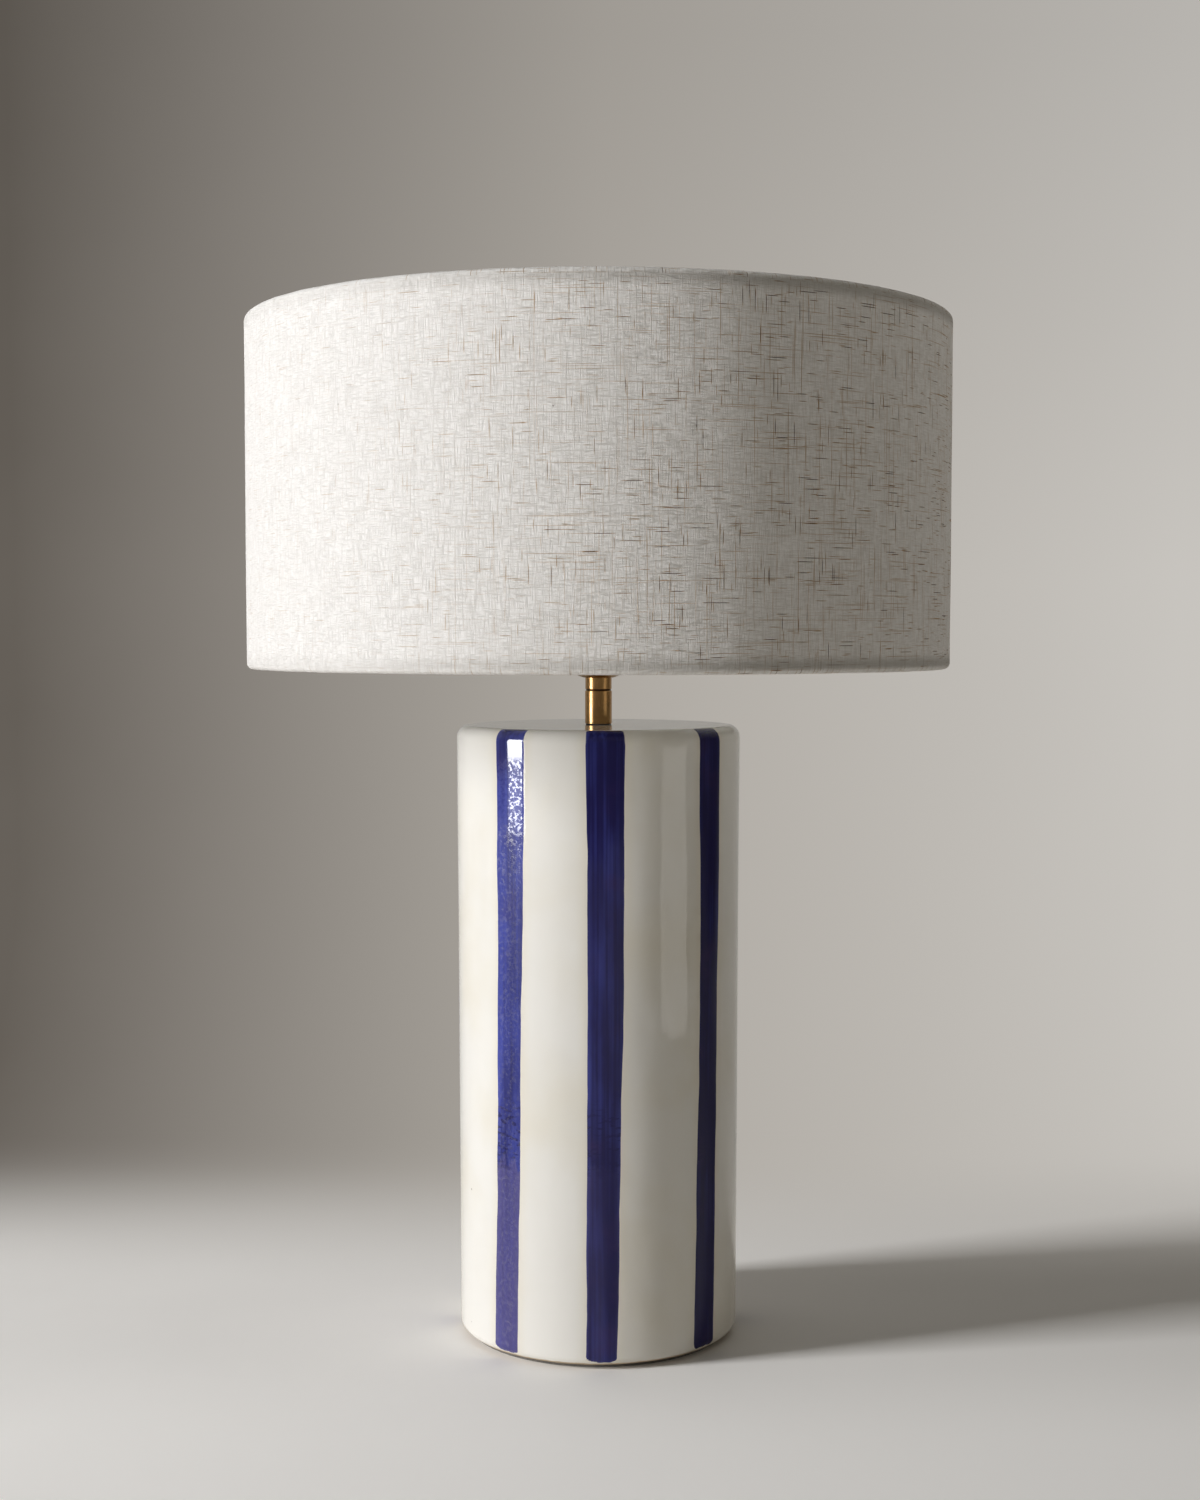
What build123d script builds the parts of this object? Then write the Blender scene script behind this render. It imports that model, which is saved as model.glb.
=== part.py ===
from build123d import *
from math import atan2, cos, degrees, radians, sin
import os

# Ceramic table lamp: an open-bottomed ceramic cylinder, a brass neck, a screw lampholder with its
# bulb, and a linen drum shade held between two rings on the lampholder's thread. Sizes are in
# millimetres. The lamp stands on Z = 0 about the Z axis, its front faces -Y, its lead leaves at +Y.

# Ceramic body, slightly narrower at the foot than at the shoulder
BODY_HEIGHT = 350.0
BODY_DIAMETER = 163.0
BODY_TAPER = 2.5
BODY_WALL = 8.0
BODY_TOP_THICKNESS = 9.0
SHOULDER_RADIUS = 7.0
FOOT_RADIUS = 5.0
FOOT_WIDTH = 14.0
FOOT_HEIGHT = 10.0
FOOT_SLOPE_HEIGHT = 8.0
INSIDE_RADIUS = 6.0
FOOT_EDGE_RADIUS = 1.0

# Felt ring under the foot
FELT_THICKNESS = 2.0
FELT_INSET = 0.6
FELT_EDGE_CHAMFER = 0.4

# Outlet for the lead, low at the back
OUTLET_HEIGHT = 30.0
GROMMET_BORE = 7.4
GROMMET_BODY_DIAMETER = 10.0
GROMMET_FLANGE_DIAMETER = 15.0
GROMMET_FLANGE_THICKNESS = 2.0
GROMMET_FLANGE_RADIUS = 0.8
GROMMET_TAIL = 1.5
GROMMET_CLEARANCE = 0.1

# Hollow threaded tube through the top of the body, with its washers and nut
NIPPLE_DIAMETER = 10.0
NIPPLE_BORE = 7.5
NIPPLE_TAIL = 4.0
NIPPLE_ENTRY = 9.5
NIPPLE_CHAMFER = 0.5
PASS_CLEARANCE = 0.5
THREAD_CLEARANCE = 0.05
CUSHION_DIAMETER = 36.0
CUSHION_THICKNESS = 2.0
CLAMP_WASHER_DIAMETER = 34.0
CLAMP_WASHER_THICKNESS = 2.0
LOCK_WASHER_DIAMETER = 16.0
LOCK_WASHER_THICKNESS = 1.2
LOCK_TOOTH_COUNT = 12
LOCK_TOOTH_LENGTH = 1.6
LOCK_TOOTH_WIDTH = 2.0
NUT_ACROSS_FLATS = 17.0
NUT_THICKNESS = 5.0
NUT_CHAMFER = 0.6

# Brass neck
GASKET_DIAMETER = 14.4
GASKET_THICKNESS = 0.5
SLEEVE_DIAMETER = 15.5
SLEEVE_WALL = 2.0
SLEEVE_LENGTH = 19.0
SLEEVE_EDGE = 0.25
SPACER_DIAMETER = 14.2
SPACER_THICKNESS = 0.8

# Lampholder cap: a turned neck, a lip, and a spun dome with a straight rim
CAP_NECK_DIAMETER = 15.2
CAP_NECK_LENGTH = 6.7
CAP_BUSH_DIAMETER = 14.0
CAP_BUSH_LENGTH = 12.0
CAP_LIP_DIAMETER = 17.0
CAP_DIAMETER = 39.0
CAP_DOME_HEIGHT = 14.0
CAP_WALL = 1.2
CAP_EDGE = 0.25
GRUB_DIAMETER = 3.0
GRUB_SLOT_WIDTH = 0.6
GRUB_SLOT_DEPTH = 0.8
GRUB_SINK = 0.2

# Porcelain contact block, its screw shell, spring contact and terminal screws
BLOCK_FLANGE_THICKNESS = 3.0
BLOCK_FLOOR_THICKNESS = 9.0
BLOCK_RECESS = 0.6
SHELL_BORE = 27.4
SHELL_WALL = 0.5
SHELL_HEIGHT = 22.0
SHELL_BASE_HOLE = 17.0
CONTACT_THICKNESS = 0.5
CONTACT_WIDTH = 6.0
CONTACT_FOOT = 4.5
CONTACT_RISE = 2.2
CONTACT_RUN = 3.0
CONTACT_TIP = 3.5
CONTACT_BEND_RADIUS = 0.8
TERMINAL_SHANK_DIAMETER = 3.0
TERMINAL_HEAD_DIAMETER = 5.6
TERMINAL_HEAD_HEIGHT = 2.4
TERMINAL_SLOT_WIDTH = 0.9
TERMINAL_SLOT_DEPTH = 1.1
TERMINAL_CLEARANCE = 0.1

# Lampholder skirt, threaded outside for the shade rings
SKIRT_THREAD_DIAMETER = 40.0
SKIRT_WALL = 3.0
SKIRT_LENGTH = 36.0
SKIRT_SPIGOT_LENGTH = 6.0
SKIRT_COLLAR_DIAMETER = 45.0
SKIRT_COLLAR_THICKNESS = 2.0
SKIRT_EDGE = 0.6
HOLDER_CLEARANCE = 0.1

# Two scalloped rings that hold the shade's fitter between them
RING_DIAMETER = 56.0
RING_THICKNESS = 6.0
RING_CLEARANCE = 0.3
RING_GRIP_COUNT = 20
RING_GRIP_DIAMETER = 4.0
RING_GRIP_DEPTH = 1.0
RING_EDGE = 0.5
FACE_CLEARANCE = 0.05

# Bulb with a 27 mm screw cap
BULB_DIAMETER = 60.0
BULB_LENGTH = 108.0
BULB_GLASS_WALL = 0.8
BULB_CAP_DIAMETER = 26.2
BULB_CAP_RIM_DIAMETER = 27.0
BULB_CAP_RIM_HEIGHT = 3.5
BULB_CAP_LENGTH = 22.0
BULB_CAP_WALL = 0.4
BULB_CAP_TAPER = 2.5
BULB_CAP_FOOT_DIAMETER = 22.0
BULB_INSULATOR_HEIGHT = 3.4
BULB_INSULATOR_TIP_DIAMETER = 12.0
BULB_CONTACT_DIAMETER = 9.6
BULB_CONTACT_HEIGHT = 1.6
BULB_CONTACT_EDGE = 0.6
BULB_SEAT_CLEARANCE = 0.3
BULB_NECK_ENTRY = 6.0
BULB_CEMENT_CLEARANCE = 0.2

# Drum shade: linen on a stiff liner, its edges rolled round wire rings
SHADE_DIAMETER = 400.0
SHADE_HEIGHT = 196.0
LINEN_THICKNESS = 0.8
LINER_THICKNESS = 0.5
SHADE_WIRE_DIAMETER = 2.2
HEM_LENGTH = 6.0
LAMINATE_CLEARANCE = 0.1
HEM_CLEARANCE = 1.4
WIRE_SEAT_CLEARANCE = 0.6
WELD_CLEARANCE = 0.05
FITTER_DROP = 25.5
FITTER_BORE = 42.0
FITTER_DIAMETER = 66.0
FITTER_THICKNESS = 2.0
ARM_ANGLES = (90.0, 210.0, 330.0)
ARM_WIRE_DIAMETER = 3.0
ARM_BEND_RADIUS = 7.0
ARM_START_CLEARANCE = 0.6

# Heights of the stack, from the floor up
body_foot_z = FELT_THICKNESS
body_top_z = body_foot_z + BODY_HEIGHT
body_ceiling_z = body_top_z - BODY_TOP_THICKNESS
cushion_z = body_ceiling_z - CUSHION_THICKNESS
clamp_washer_z = cushion_z - CLAMP_WASHER_THICKNESS
lock_washer_z = clamp_washer_z - LOCK_WASHER_THICKNESS
nut_z = lock_washer_z - NUT_THICKNESS
sleeve_z = body_top_z + GASKET_THICKNESS
spacer_z = sleeve_z + SLEEVE_LENGTH
cap_z = spacer_z + SPACER_THICKNESS
cap_lip_z = cap_z + CAP_NECK_LENGTH
cap_dome_z = cap_lip_z + CAP_DOME_HEIGHT
skirt_foot_z = cap_dome_z + BLOCK_FLANGE_THICKNESS
cap_rim_z = skirt_foot_z + SKIRT_SPIGOT_LENGTH
skirt_seat_z = cap_rim_z + SKIRT_COLLAR_THICKNESS
skirt_top_z = skirt_seat_z + SKIRT_LENGTH
block_floor_z = cap_dome_z + BLOCK_FLOOR_THICKNESS
support_ring_z = skirt_seat_z + FACE_CLEARANCE
fitter_z = support_ring_z + RING_THICKNESS + FACE_CLEARANCE
clamp_ring_z = fitter_z + FITTER_THICKNESS + FACE_CLEARANCE
shade_bottom_z = fitter_z - FITTER_DROP
shade_top_z = shade_bottom_z + SHADE_HEIGHT
bulb_z = block_floor_z + CONTACT_RISE + CONTACT_THICKNESS + BULB_SEAT_CLEARANCE

# Radii that neighbours share
body_top_r = BODY_DIAMETER / 2
body_foot_r = (BODY_DIAMETER - BODY_TAPER) / 2
nipple_r = NIPPLE_DIAMETER / 2
pass_r = nipple_r + PASS_CLEARANCE
thread_r = nipple_r + THREAD_CLEARANCE
cap_inside_r = CAP_DIAMETER / 2 - CAP_WALL
holder_fit_r = cap_inside_r - HOLDER_CLEARANCE
skirt_bore_r = SKIRT_THREAD_DIAMETER / 2 - SKIRT_WALL
shell_r = SHELL_BORE / 2 + SHELL_WALL
ring_bore_r = SKIRT_THREAD_DIAMETER / 2 + RING_CLEARANCE
liner_outside_r = SHADE_DIAMETER / 2 - LINEN_THICKNESS - LAMINATE_CLEARANCE
liner_inside_r = liner_outside_r - LINER_THICKNESS
hem_width = SHADE_WIRE_DIAMETER + 2 * HEM_CLEARANCE + 2 * LINEN_THICKNESS
shade_wire_r = SHADE_DIAMETER / 2 - hem_width / 2


def body_outside_r(height):
    """Radius of the body's leaning outside wall at a height above the floor."""
    share = (height - body_foot_z) / BODY_HEIGHT
    return body_foot_r + share * (body_top_r - body_foot_r)


def upright(angle):
    """Vertical plane through the lamp's axis, with its own x axis pointing out at that angle."""
    turn = radians(angle)
    return Plane(origin=(0, 0, 0), x_dir=(cos(turn), sin(turn), 0), z_dir=(sin(turn), -cos(turn), 0))


def keep(piece, name):
    """Labels a finished piece and writes it under its own name."""
    piece.part.label = name
    export_step(piece.part, f"parts/{name}.step")


os.makedirs("parts", exist_ok=True)

# The body's reach at the lead's outlet, over the width of the grommet's flange
outlet_wall_r = max(
    body_outside_r(OUTLET_HEIGHT + GROMMET_FLANGE_DIAMETER / 2),
    body_outside_r(OUTLET_HEIGHT - GROMMET_FLANGE_DIAMETER / 2),
)

# Planes that face backwards, at the lead's outlet and at the cap's grub screw
outlet_plane = Plane(origin=(0, 0, OUTLET_HEIGHT), x_dir=(-1, 0, 0), z_dir=(0, 1, 0))
grub_plane = Plane(origin=(0, 0, cap_z + CAP_NECK_LENGTH / 2), x_dir=(-1, 0, 0), z_dir=(0, 1, 0))

# Ceramic body: closed at the top but for the tube's hole, open below inside a thick foot ring
foot_slope_z = body_foot_z + FOOT_HEIGHT
wall_start_z = foot_slope_z + FOOT_SLOPE_HEIGHT
foot_inside_r = body_foot_r - FOOT_WIDTH
with BuildPart() as ceramic_body:
    with BuildSketch(Plane.XZ):
        with BuildLine():
            FilletPolyline(
                (pass_r, body_top_z),
                (body_top_r, body_top_z),
                (body_foot_r, body_foot_z),
                (foot_inside_r, body_foot_z),
                (foot_inside_r, foot_slope_z),
                (body_outside_r(wall_start_z) - BODY_WALL, wall_start_z),
                (body_outside_r(body_ceiling_z) - BODY_WALL, body_ceiling_z),
                (pass_r, body_ceiling_z),
                radius=(0, SHOULDER_RADIUS, FOOT_RADIUS, FOOT_EDGE_RADIUS, 0, 0, INSIDE_RADIUS, 0),
                close=True,
            )
        make_face()
    revolve(axis=Axis.Z)
    with BuildSketch(outlet_plane):
        Circle(GROMMET_BODY_DIAMETER / 2 + GROMMET_CLEARANCE)
    extrude(amount=outlet_wall_r + GROMMET_FLANGE_THICKNESS, mode=Mode.SUBTRACT)
keep(ceramic_body, "ceramic_body")

# Felt ring glued to the flat of the foot
felt_outside_r = body_foot_r - FOOT_RADIUS - FELT_INSET
felt_inside_r = foot_inside_r + FOOT_EDGE_RADIUS + FELT_INSET
with BuildPart() as felt_foot_ring:
    with BuildSketch(Plane.XY):
        Circle(felt_outside_r)
        Circle(felt_inside_r, mode=Mode.SUBTRACT)
    extrude(amount=FELT_THICKNESS)
    chamfer(felt_foot_ring.faces().sort_by(Axis.Z)[0].edges(), FELT_EDGE_CHAMFER)
keep(felt_foot_ring, "felt_foot_ring")

# Grommet pushed into the outlet from outside
grommet_start = outlet_wall_r - BODY_WALL - GROMMET_TAIL
with BuildPart() as cord_grommet:
    with BuildSketch(outlet_plane.offset(grommet_start)):
        Circle(GROMMET_BODY_DIAMETER / 2)
    extrude(amount=BODY_WALL + GROMMET_TAIL)
    with BuildSketch(outlet_plane.offset(outlet_wall_r)):
        Circle(GROMMET_FLANGE_DIAMETER / 2)
    extrude(amount=GROMMET_FLANGE_THICKNESS)
    fillet(cord_grommet.edges().group_by(Axis.Y)[-1], GROMMET_FLANGE_RADIUS)
    with BuildSketch(outlet_plane.offset(grommet_start)):
        Circle(GROMMET_BORE / 2)
    extrude(amount=BODY_WALL + GROMMET_TAIL + GROMMET_FLANGE_THICKNESS, mode=Mode.SUBTRACT)
keep(cord_grommet, "cord_grommet")

# Hollow threaded tube, from under the nut up into the lampholder's cap
nipple_z = nut_z - NIPPLE_TAIL
nipple_length = cap_z + NIPPLE_ENTRY - nipple_z
with BuildPart() as neck_nipple:
    with BuildSketch(Plane.XY.offset(nipple_z)):
        Circle(nipple_r)
        Circle(NIPPLE_BORE / 2, mode=Mode.SUBTRACT)
    extrude(amount=nipple_length)
    outer_edges = neck_nipple.edges().filter_by(GeomType.CIRCLE).group_by(SortBy.RADIUS)[-1]
    chamfer(outer_edges, NIPPLE_CHAMFER)
keep(neck_nipple, "neck_nipple")

# Plain rings of the clamp and the neck: name, outside diameter, bore radius, height, thickness
PLAIN_RINGS = (
    ("inner_cushion_washer", CUSHION_DIAMETER, pass_r, cushion_z, CUSHION_THICKNESS),
    ("inner_clamp_washer", CLAMP_WASHER_DIAMETER, pass_r, clamp_washer_z, CLAMP_WASHER_THICKNESS),
    ("neck_gasket", GASKET_DIAMETER, pass_r, body_top_z, GASKET_THICKNESS),
    ("neck_spacer_ring", SPACER_DIAMETER, pass_r, spacer_z, SPACER_THICKNESS),
)
for name, diameter, bore_r, height, thickness in PLAIN_RINGS:
    with BuildPart() as plain_ring:
        with BuildSketch(Plane.XY.offset(height)):
            Circle(diameter / 2)
            Circle(bore_r, mode=Mode.SUBTRACT)
        extrude(amount=thickness)
    keep(plain_ring, name)

# Toothed lock washer above the nut
with BuildPart() as lock_washer:
    with BuildSketch(Plane.XY.offset(lock_washer_z)):
        Circle(LOCK_WASHER_DIAMETER / 2)
        with PolarLocations(LOCK_WASHER_DIAMETER / 2, LOCK_TOOTH_COUNT):
            Rectangle(2 * LOCK_TOOTH_LENGTH, LOCK_TOOTH_WIDTH)
        Circle(pass_r, mode=Mode.SUBTRACT)
    extrude(amount=LOCK_WASHER_THICKNESS)
keep(lock_washer, "lock_washer")

# Hexagon nut that draws the neck down on the body
with BuildPart() as nipple_nut:
    with BuildSketch(Plane.XY.offset(nut_z)):
        RegularPolygon(NUT_ACROSS_FLATS / 2, 6, major_radius=False)
        Circle(thread_r, mode=Mode.SUBTRACT)
    extrude(amount=NUT_THICKNESS)
    chamfer(nipple_nut.faces().sort_by(Axis.Z)[0].inner_wires()[0].edges(), NUT_CHAMFER)
keep(nipple_nut, "nipple_nut")

# Brass sleeve between the body and the lampholder
with BuildPart() as neck_sleeve:
    with BuildSketch(Plane.XY.offset(sleeve_z)):
        Circle(SLEEVE_DIAMETER / 2)
        Circle(SLEEVE_DIAMETER / 2 - SLEEVE_WALL, mode=Mode.SUBTRACT)
    extrude(amount=SLEEVE_LENGTH)
    chamfer(neck_sleeve.edges().filter_by(GeomType.CIRCLE).group_by(SortBy.RADIUS)[-1], SLEEVE_EDGE)
keep(neck_sleeve, "neck_sleeve")

# Lampholder cap: the neck screws down on the tube, and the dome opens upwards to its rim
cap_r = CAP_DIAMETER / 2
cap_lip_r = CAP_LIP_DIAMETER / 2
cap_neck_r = CAP_NECK_DIAMETER / 2
cap_bush_r = CAP_BUSH_DIAMETER / 2
cap_bush_top_z = cap_z + CAP_BUSH_LENGTH
dome_reach = cap_r - cap_lip_r
dome_radius = (dome_reach**2 + CAP_DOME_HEIGHT**2) / (2 * dome_reach)
dome_centre = (cap_r - dome_radius, cap_dome_z)
dome_angle = degrees(atan2(CAP_DOME_HEIGHT, cap_lip_r - dome_centre[0]))
with BuildPart() as holder_cap:
    with BuildSketch(Plane.XZ):
        with BuildLine():
            outside = CenterArc(dome_centre, dome_radius, -dome_angle, dome_angle)
            inside = CenterArc(dome_centre, dome_radius - CAP_WALL, -dome_angle, dome_angle)
            Polyline(outside @ 1, (cap_r, cap_rim_z), (cap_inside_r, cap_rim_z), inside @ 1)
            Polyline(
                outside @ 0,
                (cap_neck_r, cap_lip_z),
                (cap_neck_r, cap_z),
                (thread_r, cap_z),
                (thread_r, cap_bush_top_z),
                (cap_bush_r, cap_bush_top_z),
                (cap_bush_r, (inside @ 0).Y),
                inside @ 0,
            )
        make_face()
    revolve(axis=Axis.Z)
    with BuildSketch(grub_plane):
        Circle(GRUB_DIAMETER / 2 + THREAD_CLEARANCE)
    extrude(amount=cap_lip_r, mode=Mode.SUBTRACT)
    chamfer(holder_cap.faces().sort_by(Axis.Z)[0].outer_wire().edges(), CAP_EDGE)
keep(holder_cap, "holder_cap")

# Slotted grub screw that stops the cap from turning on the tube
grub_length = cap_neck_r - GRUB_SINK - thread_r
with BuildPart() as cap_grub_screw:
    with BuildSketch(grub_plane.offset(thread_r)):
        Circle(GRUB_DIAMETER / 2)
    extrude(amount=grub_length)
    with BuildSketch(grub_plane.offset(thread_r + grub_length)):
        Rectangle(2 * GRUB_DIAMETER, GRUB_SLOT_WIDTH)
    extrude(amount=-GRUB_SLOT_DEPTH, mode=Mode.SUBTRACT)
keep(cap_grub_screw, "cap_grub_screw")

# Porcelain contact block: a cup round the screw shell, held by its flange between cap and skirt
block_body_r = skirt_bore_r - HOLDER_CLEARANCE
block_cup_r = shell_r + HOLDER_CLEARANCE
block_top_z = skirt_top_z - BLOCK_RECESS
shell_screw_x = (SHELL_BASE_HOLE / 2 + shell_r) / 2
contact_foot_x = -(CONTACT_RUN + CONTACT_TIP + CONTACT_FOOT) / 2
contact_screw_x = contact_foot_x + CONTACT_FOOT / 2
terminal_spots = ((shell_screw_x, 0), (contact_screw_x, 0))
with BuildPart() as contact_block:
    with BuildSketch(Plane.XZ):
        with BuildLine():
            Polyline(
                (0, cap_dome_z),
                (holder_fit_r, cap_dome_z),
                (holder_fit_r, skirt_foot_z),
                (block_body_r, skirt_foot_z),
                (block_body_r, block_top_z),
                (block_cup_r, block_top_z),
                (block_cup_r, block_floor_z),
                (0, block_floor_z),
                close=True,
            )
        make_face()
    revolve(axis=Axis.Z)
    with BuildSketch(Plane.XY.offset(cap_dome_z)):
        with Locations(*terminal_spots):
            Circle(TERMINAL_SHANK_DIAMETER / 2 + TERMINAL_CLEARANCE)
    extrude(amount=BLOCK_FLOOR_THICKNESS, mode=Mode.SUBTRACT)
keep(contact_block, "contact_block")

# Screw shell that the bulb turns into
with BuildPart() as screw_shell:
    with BuildSketch(Plane.XZ):
        with BuildLine():
            Polyline(
                (SHELL_BASE_HOLE / 2, block_floor_z),
                (shell_r, block_floor_z),
                (shell_r, block_floor_z + SHELL_HEIGHT),
                (SHELL_BORE / 2, block_floor_z + SHELL_HEIGHT),
                (SHELL_BORE / 2, block_floor_z + SHELL_WALL),
                (SHELL_BASE_HOLE / 2, block_floor_z + SHELL_WALL),
                close=True,
            )
        make_face()
    revolve(axis=Axis.Z)
keep(screw_shell, "screw_shell")

# Spring tongue under the bulb's contact
contact_low_z = block_floor_z + CONTACT_THICKNESS / 2
contact_high_z = contact_low_z + CONTACT_RISE
contact_bend_x = contact_foot_x + CONTACT_FOOT
contact_tip_x = contact_bend_x + CONTACT_RUN
with BuildPart() as centre_contact:
    with BuildSketch(Plane.XZ):
        with BuildLine():
            FilletPolyline(
                (contact_foot_x, contact_low_z),
                (contact_bend_x, contact_low_z),
                (contact_tip_x, contact_high_z),
                (contact_tip_x + CONTACT_TIP, contact_high_z),
                radius=CONTACT_BEND_RADIUS,
            )
        trace(line_width=CONTACT_THICKNESS)
    extrude(amount=CONTACT_WIDTH / 2, both=True)
keep(centre_contact, "centre_contact")

# Two slotted terminal screws, up through the block to the shell and to the tongue
with BuildPart() as terminal_screws:
    with BuildSketch(Plane.XY.offset(cap_dome_z)):
        with Locations(*terminal_spots):
            Circle(TERMINAL_SHANK_DIAMETER / 2)
    extrude(amount=BLOCK_FLOOR_THICKNESS)
    with BuildSketch(Plane.XY.offset(cap_dome_z)):
        with Locations(*terminal_spots):
            Circle(TERMINAL_HEAD_DIAMETER / 2)
    extrude(amount=-TERMINAL_HEAD_HEIGHT)
    with BuildSketch(Plane.XY.offset(cap_dome_z - TERMINAL_HEAD_HEIGHT)):
        with Locations(*terminal_spots):
            Rectangle(TERMINAL_SLOT_WIDTH, 2 * TERMINAL_HEAD_DIAMETER)
    extrude(amount=TERMINAL_SLOT_DEPTH, mode=Mode.SUBTRACT)
keep(terminal_screws, "terminal_screws")

# Lampholder skirt: a spigot in the cap, a stop collar, and the long outside thread
skirt_thread_r = SKIRT_THREAD_DIAMETER / 2
skirt_collar_r = SKIRT_COLLAR_DIAMETER / 2
with BuildPart() as holder_skirt:
    with BuildSketch(Plane.XZ):
        with BuildLine():
            Polyline(
                (skirt_bore_r, skirt_foot_z),
                (holder_fit_r, skirt_foot_z),
                (holder_fit_r, cap_rim_z),
                (skirt_collar_r, cap_rim_z),
                (skirt_collar_r, skirt_seat_z),
                (skirt_thread_r, skirt_seat_z),
                (skirt_thread_r, skirt_top_z),
                (skirt_bore_r, skirt_top_z),
                close=True,
            )
        make_face()
    revolve(axis=Axis.Z)
    chamfer(holder_skirt.faces().sort_by(Axis.Z)[-1].outer_wire().edges(), SKIRT_EDGE)
keep(holder_skirt, "holder_skirt")

# Shade rings: one under the shade's fitter and one over it, scalloped for the fingers
grip_circle_r = RING_DIAMETER / 2 + RING_GRIP_DIAMETER / 2 - RING_GRIP_DEPTH
for name, height in (("shade_support_ring", support_ring_z), ("shade_clamp_ring", clamp_ring_z)):
    with BuildPart() as shade_ring:
        with BuildSketch(Plane.XY.offset(height)):
            Circle(RING_DIAMETER / 2)
            with PolarLocations(grip_circle_r, RING_GRIP_COUNT):
                Circle(RING_GRIP_DIAMETER / 2, mode=Mode.SUBTRACT)
            Circle(ring_bore_r, mode=Mode.SUBTRACT)
        extrude(amount=RING_THICKNESS)
        for face in (shade_ring.faces().sort_by(Axis.Z)[0], shade_ring.faces().sort_by(Axis.Z)[-1]):
            chamfer(face.inner_wires()[0].edges(), RING_EDGE)
    keep(shade_ring, name)

# Bulb contact: the button at the bottom of the bulb's cap
contact_r = BULB_CONTACT_DIAMETER / 2
with BuildPart() as bulb_contact:
    with BuildSketch(Plane.XY.offset(bulb_z)):
        Circle(contact_r)
    extrude(amount=BULB_CONTACT_HEIGHT)
    fillet(bulb_contact.faces().sort_by(Axis.Z)[0].edges(), BULB_CONTACT_EDGE)
keep(bulb_contact, "bulb_contact")

# Glass insulator between the button and the screw cap
insulator_z = bulb_z + BULB_CONTACT_HEIGHT + FACE_CLEARANCE
bulb_cap_z = insulator_z + BULB_INSULATOR_HEIGHT
cap_foot_r = BULB_CAP_FOOT_DIAMETER / 2
with BuildPart() as bulb_insulator:
    with BuildSketch(Plane.XZ):
        with BuildLine():
            Polyline(
                (0, insulator_z),
                (BULB_INSULATOR_TIP_DIAMETER / 2, insulator_z),
                (cap_foot_r, bulb_cap_z),
                (0, bulb_cap_z),
                close=True,
            )
        make_face()
    revolve(axis=Axis.Z)
keep(bulb_insulator, "bulb_insulator")

# Screw cap of the bulb: a thin cup that flares to a rim where it grips the glass
bulb_thread_r = BULB_CAP_DIAMETER / 2
bulb_rim_r = BULB_CAP_RIM_DIAMETER / 2
bulb_cap_top_z = bulb_cap_z + BULB_CAP_LENGTH
bulb_rim_z = bulb_cap_top_z - BULB_CAP_RIM_HEIGHT
with BuildPart() as bulb_cap:
    with BuildSketch(Plane.XZ):
        with BuildLine():
            Polyline(
                (0, bulb_cap_z),
                (cap_foot_r, bulb_cap_z),
                (bulb_thread_r, bulb_cap_z + BULB_CAP_TAPER),
                (bulb_thread_r, bulb_rim_z),
                (bulb_rim_r, bulb_rim_z),
                (bulb_rim_r, bulb_cap_top_z),
                (bulb_thread_r - BULB_CAP_WALL, bulb_cap_top_z),
                (bulb_thread_r - BULB_CAP_WALL, bulb_cap_z + BULB_CAP_TAPER),
                (cap_foot_r - BULB_CAP_WALL, bulb_cap_z + BULB_CAP_WALL),
                (0, bulb_cap_z + BULB_CAP_WALL),
                close=True,
            )
        make_face()
    revolve(axis=Axis.Z)
keep(bulb_cap, "bulb_cap")

# Glass envelope: a round head that runs into the neck on a hollow curve, cemented in the cap
head_r = BULB_DIAMETER / 2
head_z = bulb_z + BULB_LENGTH - head_r
neck_r = bulb_thread_r - BULB_CAP_WALL - BULB_CEMENT_CLEARANCE
neck_drop = head_z - bulb_cap_top_z
blend_r = (neck_drop**2 + neck_r**2 - head_r**2) / (2 * (head_r - neck_r))
blend_centre = (neck_r + blend_r, bulb_cap_top_z)
blend_angle = degrees(atan2(neck_drop, blend_centre[0]))
with BuildPart() as bulb_glass:
    with BuildSketch(Plane.XZ):
        with BuildLine():
            head_outside = CenterArc((0, head_z), head_r, -blend_angle, 90 + blend_angle)
            neck_outside = CenterArc(blend_centre, blend_r, 180 - blend_angle, blend_angle)
            head_inside = CenterArc((0, head_z), head_r - BULB_GLASS_WALL, -blend_angle, 90 + blend_angle)
            neck_inside = CenterArc(blend_centre, blend_r + BULB_GLASS_WALL, 180 - blend_angle, blend_angle)
            Line(head_outside @ 1, head_inside @ 1)
            Polyline(
                neck_outside @ 1,
                (neck_r, bulb_cap_top_z - BULB_NECK_ENTRY),
                (neck_r - BULB_GLASS_WALL, bulb_cap_top_z - BULB_NECK_ENTRY),
                neck_inside @ 1,
            )
        make_face()
    revolve(axis=Axis.Z)
keep(bulb_glass, "bulb_glass")

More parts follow.
